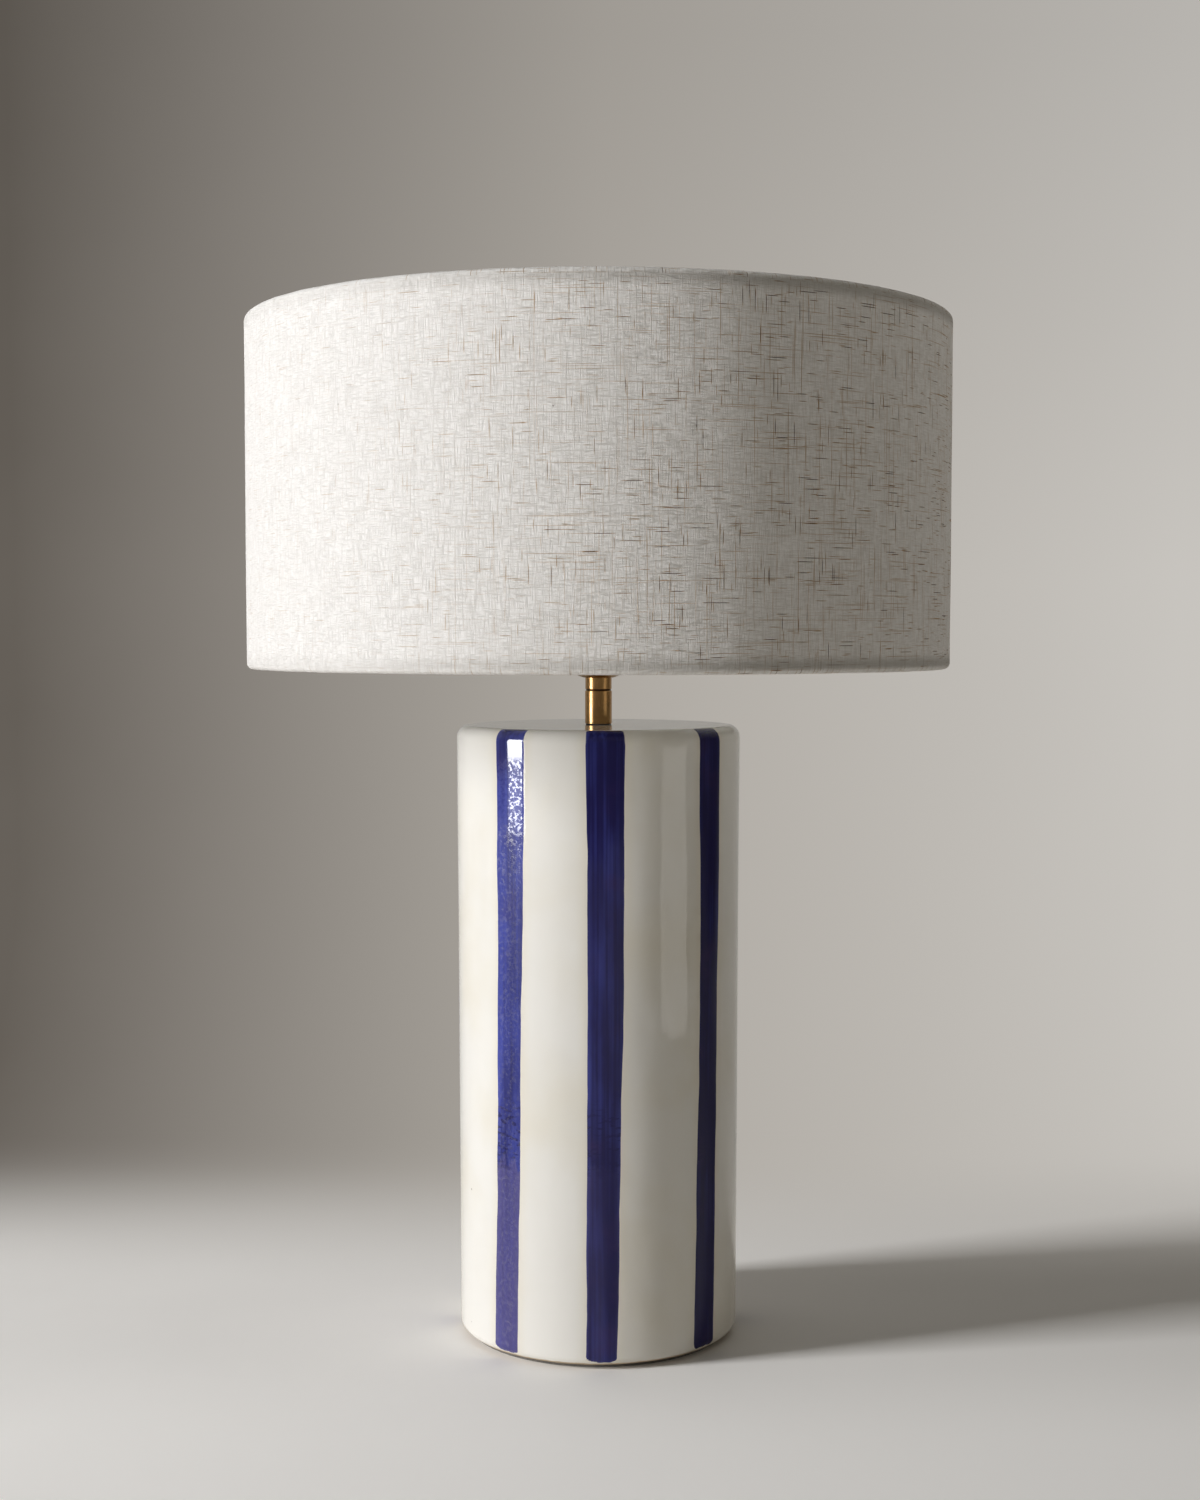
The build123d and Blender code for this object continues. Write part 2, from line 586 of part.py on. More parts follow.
# Linen cover: one wall, rolled in at top and bottom round the wire rings
shade_middle_z = (shade_bottom_z + shade_top_z) / 2
open_height = SHADE_HEIGHT - 2 * HEM_LENGTH
open_width = hem_width - LINEN_THICKNESS
with BuildPart() as shade_linen:
    with BuildSketch(Plane.XZ):
        with Locations((shade_wire_r, shade_middle_z)):
            SlotOverall(SHADE_HEIGHT, hem_width, rotation=90)
            SlotOverall(
                SHADE_HEIGHT - 2 * LINEN_THICKNESS,
                hem_width - 2 * LINEN_THICKNESS,
                rotation=90,
                mode=Mode.SUBTRACT,
            )
        with Locations((shade_wire_r - LINEN_THICKNESS / 2, shade_middle_z)):
            Rectangle(open_width, open_height, mode=Mode.SUBTRACT)
    revolve(axis=Axis.Z)
keep(shade_linen, "shade_linen")

# Stiff liner behind the linen, between the two rolled edges
liner_z = shade_bottom_z + hem_width / 2
with BuildPart() as shade_liner:
    with BuildSketch(Plane.XY.offset(liner_z)):
        Circle(liner_outside_r)
        Circle(liner_inside_r, mode=Mode.SUBTRACT)
    extrude(amount=SHADE_HEIGHT - hem_width)
keep(shade_liner, "shade_liner")

# Wire rings inside the rolled edges, drawn into the turn of the cloth
wire_inset = LINEN_THICKNESS + WIRE_SEAT_CLEARANCE + SHADE_WIRE_DIAMETER / 2
bottom_wire_z = shade_bottom_z + wire_inset
top_wire_z = shade_top_z - wire_inset
for name, height in (("shade_bottom_ring", bottom_wire_z), ("shade_top_ring", top_wire_z)):
    with BuildPart() as wire_ring:
        with BuildSketch(Plane.XZ):
            with Locations((shade_wire_r, height)):
                Circle(SHADE_WIRE_DIAMETER / 2)
        revolve(axis=Axis.Z)
    keep(wire_ring, name)

# Flat fitter ring that the shade rings grip
with BuildPart() as shade_fitter_ring:
    with BuildSketch(Plane.XY.offset(fitter_z)):
        Circle(FITTER_DIAMETER / 2)
        Circle(FITTER_BORE / 2, mode=Mode.SUBTRACT)
    extrude(amount=FITTER_THICKNESS)
keep(shade_fitter_ring, "shade_fitter_ring")

# Three wire arms welded under the fitter, bent down at their outer ends onto the bottom ring
arm_start_r = RING_DIAMETER / 2 + ARM_START_CLEARANCE
arm_z = fitter_z - WELD_CLEARANCE - ARM_WIRE_DIAMETER / 2
arm_foot_z = bottom_wire_z + SHADE_WIRE_DIAMETER / 2 + WELD_CLEARANCE
for number, angle in enumerate(ARM_ANGLES, start=1):
    with BuildPart() as spider_arm:
        with BuildLine(upright(angle)) as route:
            FilletPolyline(
                (arm_start_r, arm_z),
                (shade_wire_r, arm_z),
                (shade_wire_r, arm_foot_z),
                radius=ARM_BEND_RADIUS,
            )
        with BuildSketch(Plane(origin=route.line @ 0, z_dir=route.line % 0)):
            Circle(ARM_WIRE_DIAMETER / 2)
        sweep()
    keep(spider_arm, f"shade_arm_{number}")
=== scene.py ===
import bisect
import math
from math import cos, pi, radians, sin

import bmesh
import bpy
from mathutils import Matrix, Vector, noise


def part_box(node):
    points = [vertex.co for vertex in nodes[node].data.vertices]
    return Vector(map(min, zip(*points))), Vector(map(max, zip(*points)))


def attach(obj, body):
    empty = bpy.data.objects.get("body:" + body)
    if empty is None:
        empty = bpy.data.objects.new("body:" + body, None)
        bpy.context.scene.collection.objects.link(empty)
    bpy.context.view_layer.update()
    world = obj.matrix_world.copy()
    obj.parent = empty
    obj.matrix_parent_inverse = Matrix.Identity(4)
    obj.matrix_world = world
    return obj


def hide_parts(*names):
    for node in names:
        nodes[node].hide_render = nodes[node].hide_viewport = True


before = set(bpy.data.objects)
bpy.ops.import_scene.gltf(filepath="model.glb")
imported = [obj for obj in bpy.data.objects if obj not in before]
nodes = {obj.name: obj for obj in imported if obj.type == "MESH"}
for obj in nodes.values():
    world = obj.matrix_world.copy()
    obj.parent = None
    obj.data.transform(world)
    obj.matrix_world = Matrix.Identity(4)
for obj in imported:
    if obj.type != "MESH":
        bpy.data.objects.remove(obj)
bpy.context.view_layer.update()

# Ceramic body: a thick cast shell under a white glaze, closed at the top but for the tube's hole
# and open below inside a bare foot ring. The nut on the neck's tube clamps it.
body_low, body_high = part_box("ceramic_body")
FOOT_Z = body_low.z
TOP_Z = body_high.z
TOP_R = body_high.x
BODY_TAPER = 0.00125
FOOT_R = TOP_R - BODY_TAPER
SHOULDER_RADIUS = 0.007
FOOT_RADIUS = 0.005
FOOT_WIDTH = 0.014
FOOT_EDGE = 0.001
FOOT_HEIGHT = 0.010
FOOT_SLOPE = 0.008
WALL = 0.008
ROOF = 0.009
CEILING_RADIUS = 0.006
TUBE_HOLE_R = 0.0055
OUTLET_R = 0.0051
BODY_SIDES = 360
SWELL = 0.00026
RIPPLE = 0.00007
GLAZE_WHITE = (0.775, 0.757, 0.720, 1)
GLAZE_CREAM = (0.735, 0.700, 0.622, 1)
GLAZE_STAINED = (0.72, 0.665, 0.545, 1)
CLAY = (0.58, 0.47, 0.35, 1)
CLAY_DARK = (0.45, 0.35, 0.25, 1)
IRON_SPECK = (0.12, 0.075, 0.04, 1)
BARE_FOOT = 0.0017
FOOT_WANDER = 0.0016
GLAZE_LIP = (0.0003, -0.0001)
LIP_SCALE = 160.0
POOL_SCALE = 14.0
SPECK_CELLS = 55.0
SPECK_SIZE = 0.035
SPECK_SHARE = 0.16
SPECK_COVER = 0.75
GRIT_SCALE = 900.0
GRIT_HEIGHT = 8.0
PEEL_SCALE = 300.0
PEEL_DEPTH = 0.000012
GLOSS_SCALE = 45.0
GLAZE_ROUGH = (0.035, 0.06)
CLAY_ROUGH = 0.85
GLAZE_SHINE = 0.25


def arc(centre_r, centre_z, radius, start, end, steps):
    """Points (radius, height) on an arc, from one angle to another in degrees."""
    turns = [radians(start + (end - start) * i / steps) for i in range(steps + 1)]
    return [(centre_r + radius * cos(a), centre_z + radius * sin(a)) for a in turns]


def straight(start, end, steps):
    """Points (radius, height) from one point to another in even steps, both ends included."""
    shares = [i / steps for i in range(steps + 1)]
    return [(start[0] + (end[0] - start[0]) * s, start[1] + (end[1] - start[1]) * s) for s in shares]


def mesh_piece(name, verts, faces, sharp=40):
    """Smooth mesh object with its normals facing out and its edges sharp above an angle in degrees."""
    mesh = bpy.data.meshes.new(name)
    mesh.from_pydata(verts, [], faces)
    shape = bmesh.new()
    shape.from_mesh(mesh)
    bmesh.ops.recalc_face_normals(shape, faces=shape.faces)
    shape.to_mesh(mesh)
    shape.free()
    mesh.shade_smooth()
    mesh.set_sharp_from_angle(angle=radians(sharp))
    piece = bpy.data.objects.new(name, mesh)
    bpy.context.scene.collection.objects.link(piece)
    return piece


def turned(name, profile, turns, shift=None, sharp=40):
    """Closed profile of (radius, height) points turned round the lamp's axis at the given angles.
    shift(row, angle) moves a point (out, up)."""
    sides = len(turns)
    verts = []
    for row, (r, z) in enumerate(profile):
        for a in turns:
            out, up = shift(row, a) if shift else (0.0, 0.0)
            verts.append(((r + out) * cos(a), (r + out) * sin(a), z + up))
    faces = []
    for row in range(len(profile)):
        below = (row + 1) % len(profile)
        for k in range(sides):
            n = (k + 1) % sides
            faces.append((row * sides + k, below * sides + k, below * sides + n, row * sides + n))
    return mesh_piece(name, verts, faces, sharp)


def even_turns(sides):
    """Angles that divide a full turn evenly."""
    return [2 * pi * k / sides for k in range(sides)]


def wobble(angle, height):
    """How far the hand-finished wall stands out from a true cone."""
    slow = noise.noise(Vector((2.6 * cos(angle), 2.6 * sin(angle), 7.0 * height)))
    quick = noise.noise(Vector((9.0 * cos(angle), 9.0 * sin(angle), 32.0 * height + 4.0)))
    return SWELL * slow + RIPPLE * quick


def wall_inside(height):
    """Radius of the body's inside wall at a height."""
    share = (height - FOOT_Z) / (TOP_Z - FOOT_Z)
    return FOOT_R + share * (TOP_R - FOOT_R) - WALL


body_outside = straight((TUBE_HOLE_R, TOP_Z), (TOP_R - SHOULDER_RADIUS, TOP_Z), 14)
body_outside += arc(TOP_R - SHOULDER_RADIUS, TOP_Z - SHOULDER_RADIUS, SHOULDER_RADIUS, 90, 0, 12)[1:]
body_outside += straight((TOP_R, TOP_Z - SHOULDER_RADIUS), (FOOT_R, FOOT_Z + FOOT_RADIUS), 120)[1:]
body_outside += arc(FOOT_R - FOOT_RADIUS, FOOT_Z + FOOT_RADIUS, FOOT_RADIUS, 0, -90, 10)[1:]
foot_in_r = FOOT_R - FOOT_WIDTH
slope_z = FOOT_Z + FOOT_HEIGHT
ceiling_z = TOP_Z - ROOF
ceiling_r = wall_inside(ceiling_z)
body_inside = arc(foot_in_r + FOOT_EDGE, FOOT_Z + FOOT_EDGE, FOOT_EDGE, -90, -180, 4)
body_inside += straight(
    (foot_in_r, slope_z), (wall_inside(slope_z + FOOT_SLOPE), slope_z + FOOT_SLOPE), 3
)
body_inside += straight(body_inside[-1], (ceiling_r, ceiling_z - CEILING_RADIUS), 20)[1:]
body_inside += arc(ceiling_r - CEILING_RADIUS, ceiling_z - CEILING_RADIUS, CEILING_RADIUS, 0, 90, 6)[1:]
body_inside += [(TUBE_HOLE_R, ceiling_z)]


def body_shift(row, angle):
    """Unevenness of the body's outside; the inside stays true."""
    if row >= len(body_outside):
        return 0.0, 0.0
    return wobble(angle, body_outside[row][1]), 0.0


def bored(piece, radius, centre, length):
    """Cuts a round hole along Y through a piece, about a centre."""
    shape = bmesh.new()
    along_y = Matrix.Translation(centre) @ Matrix.Rotation(pi / 2, 4, "X")
    bmesh.ops.create_cone(
        shape, cap_ends=True, segments=48, radius1=radius, radius2=radius, depth=length, matrix=along_y
    )
    cutter_mesh = bpy.data.meshes.new("cutter")
    shape.to_mesh(cutter_mesh)
    shape.free()
    cutter = bpy.data.objects.new("cutter", cutter_mesh)
    bpy.context.scene.collection.objects.link(cutter)
    cut = piece.modifiers.new("hole", "BOOLEAN")
    cut.operation = "DIFFERENCE"
    cut.solver = "EXACT"
    cut.object = cutter
    bpy.context.view_layer.update()
    result = bpy.data.meshes.new_from_object(piece.evaluated_get(bpy.context.evaluated_depsgraph_get()))
    piece.modifiers.remove(cut)
    piece.data = result
    bpy.data.objects.remove(cutter)


def shader(name):
    """New material, its node tree and its Principled shader."""
    material = bpy.data.materials.new(name)
    material.use_nodes = True
    return material, material.node_tree, material.node_tree.nodes["Principled BSDF"]


def fill(tree, made, plugs):
    """Fills inputs of a node, each with a value or with another node's output."""
    for key, value in plugs.items():
        if isinstance(value, bpy.types.NodeSocket):
            tree.links.new(value, made.inputs[key])
        else:
            made.inputs[key].default_value = value
    return made


def add(tree, kind, plugs, output=0, **settings):
    """Adds a shader node with its settings and inputs, and returns one of its outputs."""
    made = tree.nodes.new("ShaderNode" + kind)
    for key, value in settings.items():
        setattr(made, key, value)
    return fill(tree, made, plugs).outputs[output]


def calc(tree, operation, *values):
    """Output of a maths node."""
    return add(tree, "Math", dict(enumerate(values)), operation=operation)


def spread(tree, value, low, high, to_low=0.0, to_high=1.0):
    """A value eased from one range to another."""
    plugs = {"Value": value, "From Min": low, "From Max": high, "To Min": to_low, "To Max": to_high}
    return add(tree, "MapRange", plugs, interpolation_type="SMOOTHSTEP")


def mixed(tree, factor, first, second):
    """Colour between two colours."""
    return add(tree, "Mix", {0: factor, 6: first, 7: second}, output=2, data_type="RGBA")


def bump(tree, height, distance, strength=1.0):
    """Normal from a height and how far it stands out, in metres."""
    return add(tree, "Bump", {"Height": height, "Distance": distance, "Strength": strength})


def here(tree):
    """Place on the object, in metres."""
    return add(tree, "TexCoord", {}, output="Object")


def new_effect(name, inputs, outputs):
    """Node group for an effect that several materials share: its tree, its inputs and its end node."""
    tree = bpy.data.node_groups.new(name, "ShaderNodeTree")
    for label, kind, value in inputs:
        socket = tree.interface.new_socket(name=label, in_out="INPUT", socket_type="NodeSocket" + kind)
        if value is not None:
            socket.default_value = value
    for label in outputs:
        tree.interface.new_socket(name=label, in_out="OUTPUT", socket_type="NodeSocketFloat")
    start = tree.nodes.new("NodeGroupInput")
    end = tree.nodes.new("NodeGroupOutput")
    return tree, start.outputs, end


def effect(tree, group, plugs):
    """Places a shared effect in a material and returns its output."""
    return add(tree, "Group", plugs, node_tree=group)


# Flecks: round specks scattered one to a cell, with only a share of the cells filled
FLECK_CORE = 0.6
flecks, given, end = new_effect(
    "Flecks",
    [
        ("Place", "Vector", None),
        ("Cells", "Float", 100.0),
        ("Size", "Float", 0.1),
        ("Share", "Float", 0.2),
    ],
    ["Mask"],
)
cell = flecks.nodes.new("ShaderNodeTexVoronoi")
fill(flecks, cell, {"Vector": given["Place"], "Scale": given["Cells"]})
picked = add(flecks, "SeparateColor", {"Color": cell.outputs["Color"]})
chosen = calc(flecks, "LESS_THAN", picked, given["Share"])
inner = calc(flecks, "MULTIPLY", given["Size"], FLECK_CORE)
dot = spread(flecks, cell.outputs["Distance"], given["Size"], inner)
fill(flecks, end, {"Mask": calc(flecks, "MULTIPLY", chosen, dot)})

# Streaks: noise drawn out along an axis by uneven scales
streaks, given, end = new_effect(
    "Streaks",
    [
        ("Place", "Vector", None),
        ("Scales", "Vector", (100.0, 100.0, 100.0)),
        ("Detail", "Float", 3.0),
    ],
    ["Value"],
)
drawn = add(streaks, "VectorMath", {0: given["Place"], 1: given["Scales"]}, operation="MULTIPLY")
streaked = add(streaks, "TexNoise", {"Vector": drawn, "Scale": 1.0, "Detail": given["Detail"]})
fill(streaks, end, {"Value": streaked})

glaze, tree, principled = shader("glaze")
place = here(tree)
axes = tree.nodes.new("ShaderNodeSeparateXYZ")
fill(tree, axes, {0: place})
flat_place = add(tree, "CombineXYZ", {"X": axes.outputs["X"], "Y": axes.outputs["Y"]})
from_axis = add(tree, "VectorMath", {0: flat_place}, output="Value", operation="LENGTH")
pooling = add(tree, "TexNoise", {"Vector": place, "Scale": POOL_SCALE, "Detail": 3.0})
colour = mixed(tree, spread(tree, pooling, 0.42, 0.75), GLAZE_WHITE, GLAZE_CREAM)
beside_paint = add(tree, "Attribute", {}, output="Fac", attribute_name="beside_paint")
colour = mixed(tree, beside_paint, colour, GLAZE_STAINED)
speck_plugs = {"Place": place, "Cells": SPECK_CELLS, "Size": SPECK_SIZE, "Share": SPECK_SHARE}
specks = effect(tree, flecks, speck_plugs)
colour = mixed(tree, calc(tree, "MULTIPLY", specks, SPECK_COVER), colour, IRON_SPECK)
ragged = add(tree, "TexNoise", {"Vector": place, "Scale": LIP_SCALE, "Detail": 2.0})
lowest_end = FOOT_Z + BARE_FOOT - FOOT_WANDER / 2
glaze_end = calc(tree, "MULTIPLY_ADD", ragged, FOOT_WANDER, lowest_end)
bare_foot = spread(tree, calc(tree, "SUBTRACT", axes.outputs["Z"], glaze_end), *GLAZE_LIP)
under_roof = calc(tree, "LESS_THAN", axes.outputs["Z"], TOP_Z - ROOF / 2)
bare_inside = calc(tree, "MULTIPLY", calc(tree, "LESS_THAN", from_axis, TOP_R - WALL / 2), under_roof)
bare = calc(tree, "MAXIMUM", bare_foot, bare_inside)
grit = add(tree, "TexNoise", {"Vector": place, "Scale": GRIT_SCALE, "Detail": 4.0})
colour = mixed(tree, bare, colour, mixed(tree, grit, CLAY, CLAY_DARK))
gloss = add(tree, "TexNoise", {"Vector": place, "Scale": GLOSS_SCALE, "Detail": 2.0})
roughness = spread(tree, gloss, 0.35, 0.7, *GLAZE_ROUGH)
peel = add(tree, "TexNoise", {"Vector": place, "Scale": PEEL_SCALE, "Detail": 1.0})
relief = calc(tree, "MULTIPLY_ADD", calc(tree, "MULTIPLY", bare, grit), GRIT_HEIGHT, peel)
fill(
    tree,
    principled,
    {
        "Base Color": colour,
        "Roughness": calc(tree, "MAXIMUM", roughness, calc(tree, "MULTIPLY", bare, CLAY_ROUGH)),
        "Specular IOR Level": GLAZE_SHINE,
        "Normal": bump(tree, relief, PEEL_DEPTH),
    },
)

body = turned("ceramic_shell", body_outside + body_inside, even_turns(BODY_SIDES), body_shift)
outlet_low, outlet_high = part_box("cord_grommet")
outlet_centre = (outlet_low + outlet_high) / 2
bored(body, OUTLET_R, outlet_centre, 4 * WALL)
body.data.materials.append(glaze)
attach(body, "base")
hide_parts("ceramic_body")

# Painted stripes: eight strokes of cobalt laid down the body with a flat brush and glazed over.
# Each starts on the shoulder, wanders a little and ends on the rounded edge of the foot.
STROKES = (
    # centre at the top, middle and bottom, then width there, in degrees from the front; paint load
    ((-36.7, -37.6, -40.2), (15.2, 12.6, 13.2), 0.50),
    ((2.65, 2.65, 1.1), (16.6, 14.5, 12.8), 0.86),
    ((49.7, 49.4, 47.8), (13.2, 12.2, 13.4), 1.0),
    ((93.6, 94.2, 95.0), (12.6, 12.2, 11.8), 0.9),
    ((138.2, 137.4, 136.6), (13.4, 12.4, 12.6), 0.8),
    ((180.4, 181.0, 179.6), (12.2, 12.9, 12.1), 0.9),
    ((224.6, 224.0, 225.1), (13.0, 12.1, 12.5), 0.75),
    ((267.6, 267.0, 266.2), (12.7, 12.3, 11.9), 0.7),
)
SHOULDER_ROWS = 30
WALL_ROWS = 120
FOOT_ROWS = 24
FOOT_REACH = 0.009
STROKE_COLUMNS = 16
STROKE_TOP = 0.0006
STROKE_END = 0.0006
PAINT = 0.00012
PAINT_EDGE = 0.00004
PAINT_ROOT = 0.0005
END_FADE = 0.006
START_WANDER = 0.0012
START_ROUND = 0.0012
END_WANDER = 0.0010
END_ROUND = 0.0016
END_SLANT = 0.0011
ROUND_THE_FOOT = 0.004
SWAY = 0.50
EDGE_DRIFT = 0.34
EDGE_SHAKE = 0.16
EDGE_THINS = 0.30
END_THINS = 0.15
LOAD_VARIES = 0.12
COBALT_THIN = (0.058, 0.076, 0.38, 1)
COBALT_THICK = (0.0115, 0.0095, 0.070, 1)
COBALT_VIOLET = (0.034, 0.017, 0.085, 1)
# Painted reflection: a lighter, greyer blue for the bright floor reflected low on thin strokes.
COBALT_FLOOR_REFLECTION = (0.098, 0.086, 0.235, 1)
FLOOR_REFLECTION_Z = 0.112
REFLECTION_WANDER = 0.022
REFLECTION_EDGE = (0.013, 0.009)
SMEARS_ABOVE_REFLECTION = 0.016
SMEAR_REACH = (0.030, 0.006)
SMEAR_COVER = 0.75
SMOOTH_TOP = (0.020, 0.012)
BRISTLE_SCALES = (520.0, 520.0, 7.0)
BRISTLE_VARIES = 0.16
PATCH_SCALES = (60.0, 60.0, 18.0)
PATCH_VARIES = 0.14
VIOLET_SCALE = 38.0
VIOLET_COVER = 0.55
REFLECTION_SCALES = (420.0, 420.0, 90.0)
SMEAR_SCALES = (170.0, 170.0, 520.0)
PIT_SCALE = 520.0
PIT_DEPTH = 0.00003
PAINT_ROUGH = (0.32, 0.05)
PAINT_SHINE = 0.12
COAT_ROUGH = 0.05
COAT_IOR = 1.7
STAIN_SPREAD = 4.5
STAIN_COVER = 0.5

body_runs = [0.0]
for (r0, z0), (r1, z1) in zip(body_outside, body_outside[1:]):
    body_runs.append(body_runs[-1] + math.hypot(r1 - r0, z1 - z0))
shoulder_run = TOP_R - SHOULDER_RADIUS - TUBE_HOLE_R
wall_run = body_runs[-1] - FOOT_RADIUS * pi / 2
shoulder_length = SHOULDER_RADIUS * pi / 2
stroke_length = wall_run - shoulder_run - STROKE_TOP
shoulder_share = shoulder_length / stroke_length
row_shares = [shoulder_share * i / SHOULDER_ROWS for i in range(SHOULDER_ROWS)]
foot_share = 1 - FOOT_REACH / stroke_length
row_shares += [shoulder_share + (foot_share - shoulder_share) * i / WALL_ROWS for i in range(WALL_ROWS)]
row_shares += [foot_share + (1 - foot_share) * i / FOOT_ROWS for i in range(FOOT_ROWS + 1)]


def on_body(angle, run, lift):
    """Point on the body's outside at a run from the hole in its top, lifted off the surface."""
    i = min(max(bisect.bisect_right(body_runs, run) - 1, 0), len(body_outside) - 2)
    length = body_runs[i + 1] - body_runs[i]
    (r0, z0), (r1, z1) = body_outside[i], body_outside[i + 1]
    share = (run - body_runs[i]) / length
    z = z0 + (z1 - z0) * share
    r = r0 + (r1 - r0) * share + wobble(angle, z) + lift * (z0 - z1) / length
    return r * cos(angle), r * sin(angle), z + lift * (r1 - r0) / length


def between(three, share):
    """Value at a share of the way through three evenly spaced ones, on a smooth curve."""
    a, b, c = three
    return a * (1 - share) * (1 - 2 * share) + 4 * b * share * (1 - share) + c * share * (2 * share - 1)


def brush_noise(*spot):
    """Signed smooth noise, the same on every run."""
    return noise.noise(Vector(spot))


def painted_stroke(number, centres, widths, load):
    """Thin closed skin of paint on the body, with a paint load kept on its points."""
    verts, loads = [], []
    for layer in (0, 1):
        for t in row_shares:
            for column in range(STROKE_COLUMNS + 1):
                s = 2 * column / STROKE_COLUMNS - 1
                start = shoulder_run + STROKE_TOP
                start += START_WANDER * brush_noise(number * 7.1, 1.7 * s, 0.3)
                start += START_ROUND * s**6
                lift_end = END_ROUND * s**4 + END_WANDER * brush_noise(number * 3.3, 2.1 * s, 8.0)
                slant = END_SLANT * s * brush_noise(number * 5.7, 0.4, 2.0)
                stop = wall_run + ROUND_THE_FOOT - STROKE_END - lift_end + slant
                run = start + (stop - start) * t
                sway = SWAY * brush_noise(6.0 * t, number * 4.7, s * 0.4)
                edge = EDGE_DRIFT * brush_noise(11.0 * t + 3.0, number * 9.1 + 20.0 * (s > 0), 0.5)
                edge += EDGE_SHAKE * brush_noise(34.0 * t, number * 6.1 + 20.0 * (s > 0), 5.5)
                half = between(widths, t) / 2 + edge
                angle = radians(between(centres, t) + sway + s * half - 90)
                ends = min(1.0, t / END_FADE, (1 - t) / END_FADE)
                skin = PAINT * (1 - s**8) * ends - PAINT_EDGE
                verts.append(on_body(angle, run, skin if layer == 0 else -PAINT_ROOT))
                thinned = EDGE_THINS * s**10 + END_THINS * (1 - ends)
                varied = LOAD_VARIES * brush_noise(2.2 * t, number * 2.9, 3.0 + s)
                loads.append(load - thinned + varied)
    across = STROKE_COLUMNS + 1
    last_row = len(row_shares) - 1
    layer_size = across * (last_row + 1)
    faces = []
    for row in range(last_row):
        for column in range(STROKE_COLUMNS):
            i = row * across + column
            faces.append((i, i + across, i + across + 1, i + 1))
            j = i + layer_size
            faces.append((j, j + 1, j + across + 1, j + across))
    rim = list(range(across))
    rim += [row * across + STROKE_COLUMNS for row in range(1, last_row + 1)]
    rim += [last_row * across + column for column in reversed(range(STROKE_COLUMNS))]
    rim += [row * across for row in reversed(range(1, last_row))]
    for i, j in zip(rim, rim[1:] + rim[:1]):
        faces.append((i, j, j + layer_size, i + layer_size))
    stroke = mesh_piece(f"painted_stripe_{number}", verts, faces, sharp=60)
    kept = stroke.data.attributes.new("load", "FLOAT", "POINT")
    kept.data.foreach_set("value", loads)
    return stroke


cobalt, tree, principled = shader("cobalt")
place = here(tree)
loaded = add(tree, "Attribute", {}, output="Fac", attribute_name="load")
bristle = effect(tree, streaks, {"Place": place, "Scales": BRISTLE_SCALES, "Detail": 3.0})
patches = effect(tree, streaks, {"Place": place, "Scales": PATCH_SCALES, "Detail": 4.0})
combed = spread(tree, bristle, 0.25, 0.75, -BRISTLE_VARIES, BRISTLE_VARIES)
clouded = spread(tree, patches, 0.3, 0.7, -PATCH_VARIES, PATCH_VARIES)
thickness = calc(tree, "ADD", calc(tree, "ADD", loaded, combed), clouded)
colour = mixed(tree, spread(tree, thickness, 0.0, 1.05), COBALT_THIN, COBALT_THICK)
violet = add(tree, "TexNoise", {"Vector": place, "Scale": VIOLET_SCALE, "Detail": 5.0})
colour = mixed(tree, spread(tree, violet, 0.52, 0.78, 0.0, VIOLET_COVER), colour, COBALT_VIOLET)
height = add(tree, "SeparateXYZ", {0: place}, output="Z")
# Painted reflection: below a wandering line low on the body, thinly painted strokes turn the lighter
# blue of the floor's painted reflection. Dark smears gather around a line a little above.
ragged = effect(tree, streaks, {"Place": place, "Scales": REFLECTION_SCALES, "Detail": 3.0})
reflection_line_z = calc(tree, "MULTIPLY_ADD", ragged, REFLECTION_WANDER, height)
painted_floor_reflection = spread(tree, reflection_line_z, FLOOR_REFLECTION_Z + REFLECTION_EDGE[0], FLOOR_REFLECTION_Z + REFLECTION_EDGE[1])
thin_paint = spread(tree, loaded, 1.0, 0.2)
colour = mixed(tree, calc(tree, "MULTIPLY", painted_floor_reflection, thin_paint), colour, COBALT_FLOOR_REFLECTION)
smears = effect(tree, streaks, {"Place": place, "Scales": SMEAR_SCALES, "Detail": 4.0})
from_smear_line = calc(tree, "ABSOLUTE", calc(tree, "SUBTRACT", height, FLOOR_REFLECTION_Z + SMEARS_ABOVE_REFLECTION))
near_smear_line = spread(tree, from_smear_line, *SMEAR_REACH, 0.0, SMEAR_COVER)
smeared = calc(tree, "MULTIPLY", spread(tree, smears, 0.54, 0.60), near_smear_line)
colour = mixed(tree, smeared, colour, COBALT_THICK)
pit_plugs = {"Vector": place, "Scale": PIT_SCALE, "Detail": 3.0, "Roughness": 0.65}
pits = add(tree, "TexNoise", pit_plugs)
smooth = spread(tree, height, TOP_Z - SMOOTH_TOP[0], TOP_Z - SMOOTH_TOP[1])
glassy = calc(tree, "MAXIMUM", spread(tree, pits, 0.51, 0.57), smooth)
glassy = calc(tree, "MAXIMUM", glassy, spread(tree, loaded, 0.62, 0.80))
thin_shine = spread(tree, loaded, 0.95, 0.45, 0.15, 1.0)
wet = calc(tree, "MULTIPLY", thin_shine, spread(tree, glassy, 0.0, 1.0, 0.10, 1.0))
relief = calc(tree, "MULTIPLY_ADD", bristle, 0.5, pits)
fill(
    tree,
    principled,
    {
        "Base Color": colour,
        "Roughness": spread(tree, glassy, 0.0, 1.0, *PAINT_ROUGH),
        "Specular IOR Level": PAINT_SHINE,
        "Coat Weight": wet,
        "Coat Roughness": COAT_ROUGH,
        "Coat IOR": COAT_IOR,
        "Normal": bump(tree, relief, PIT_DEPTH),
    },
)


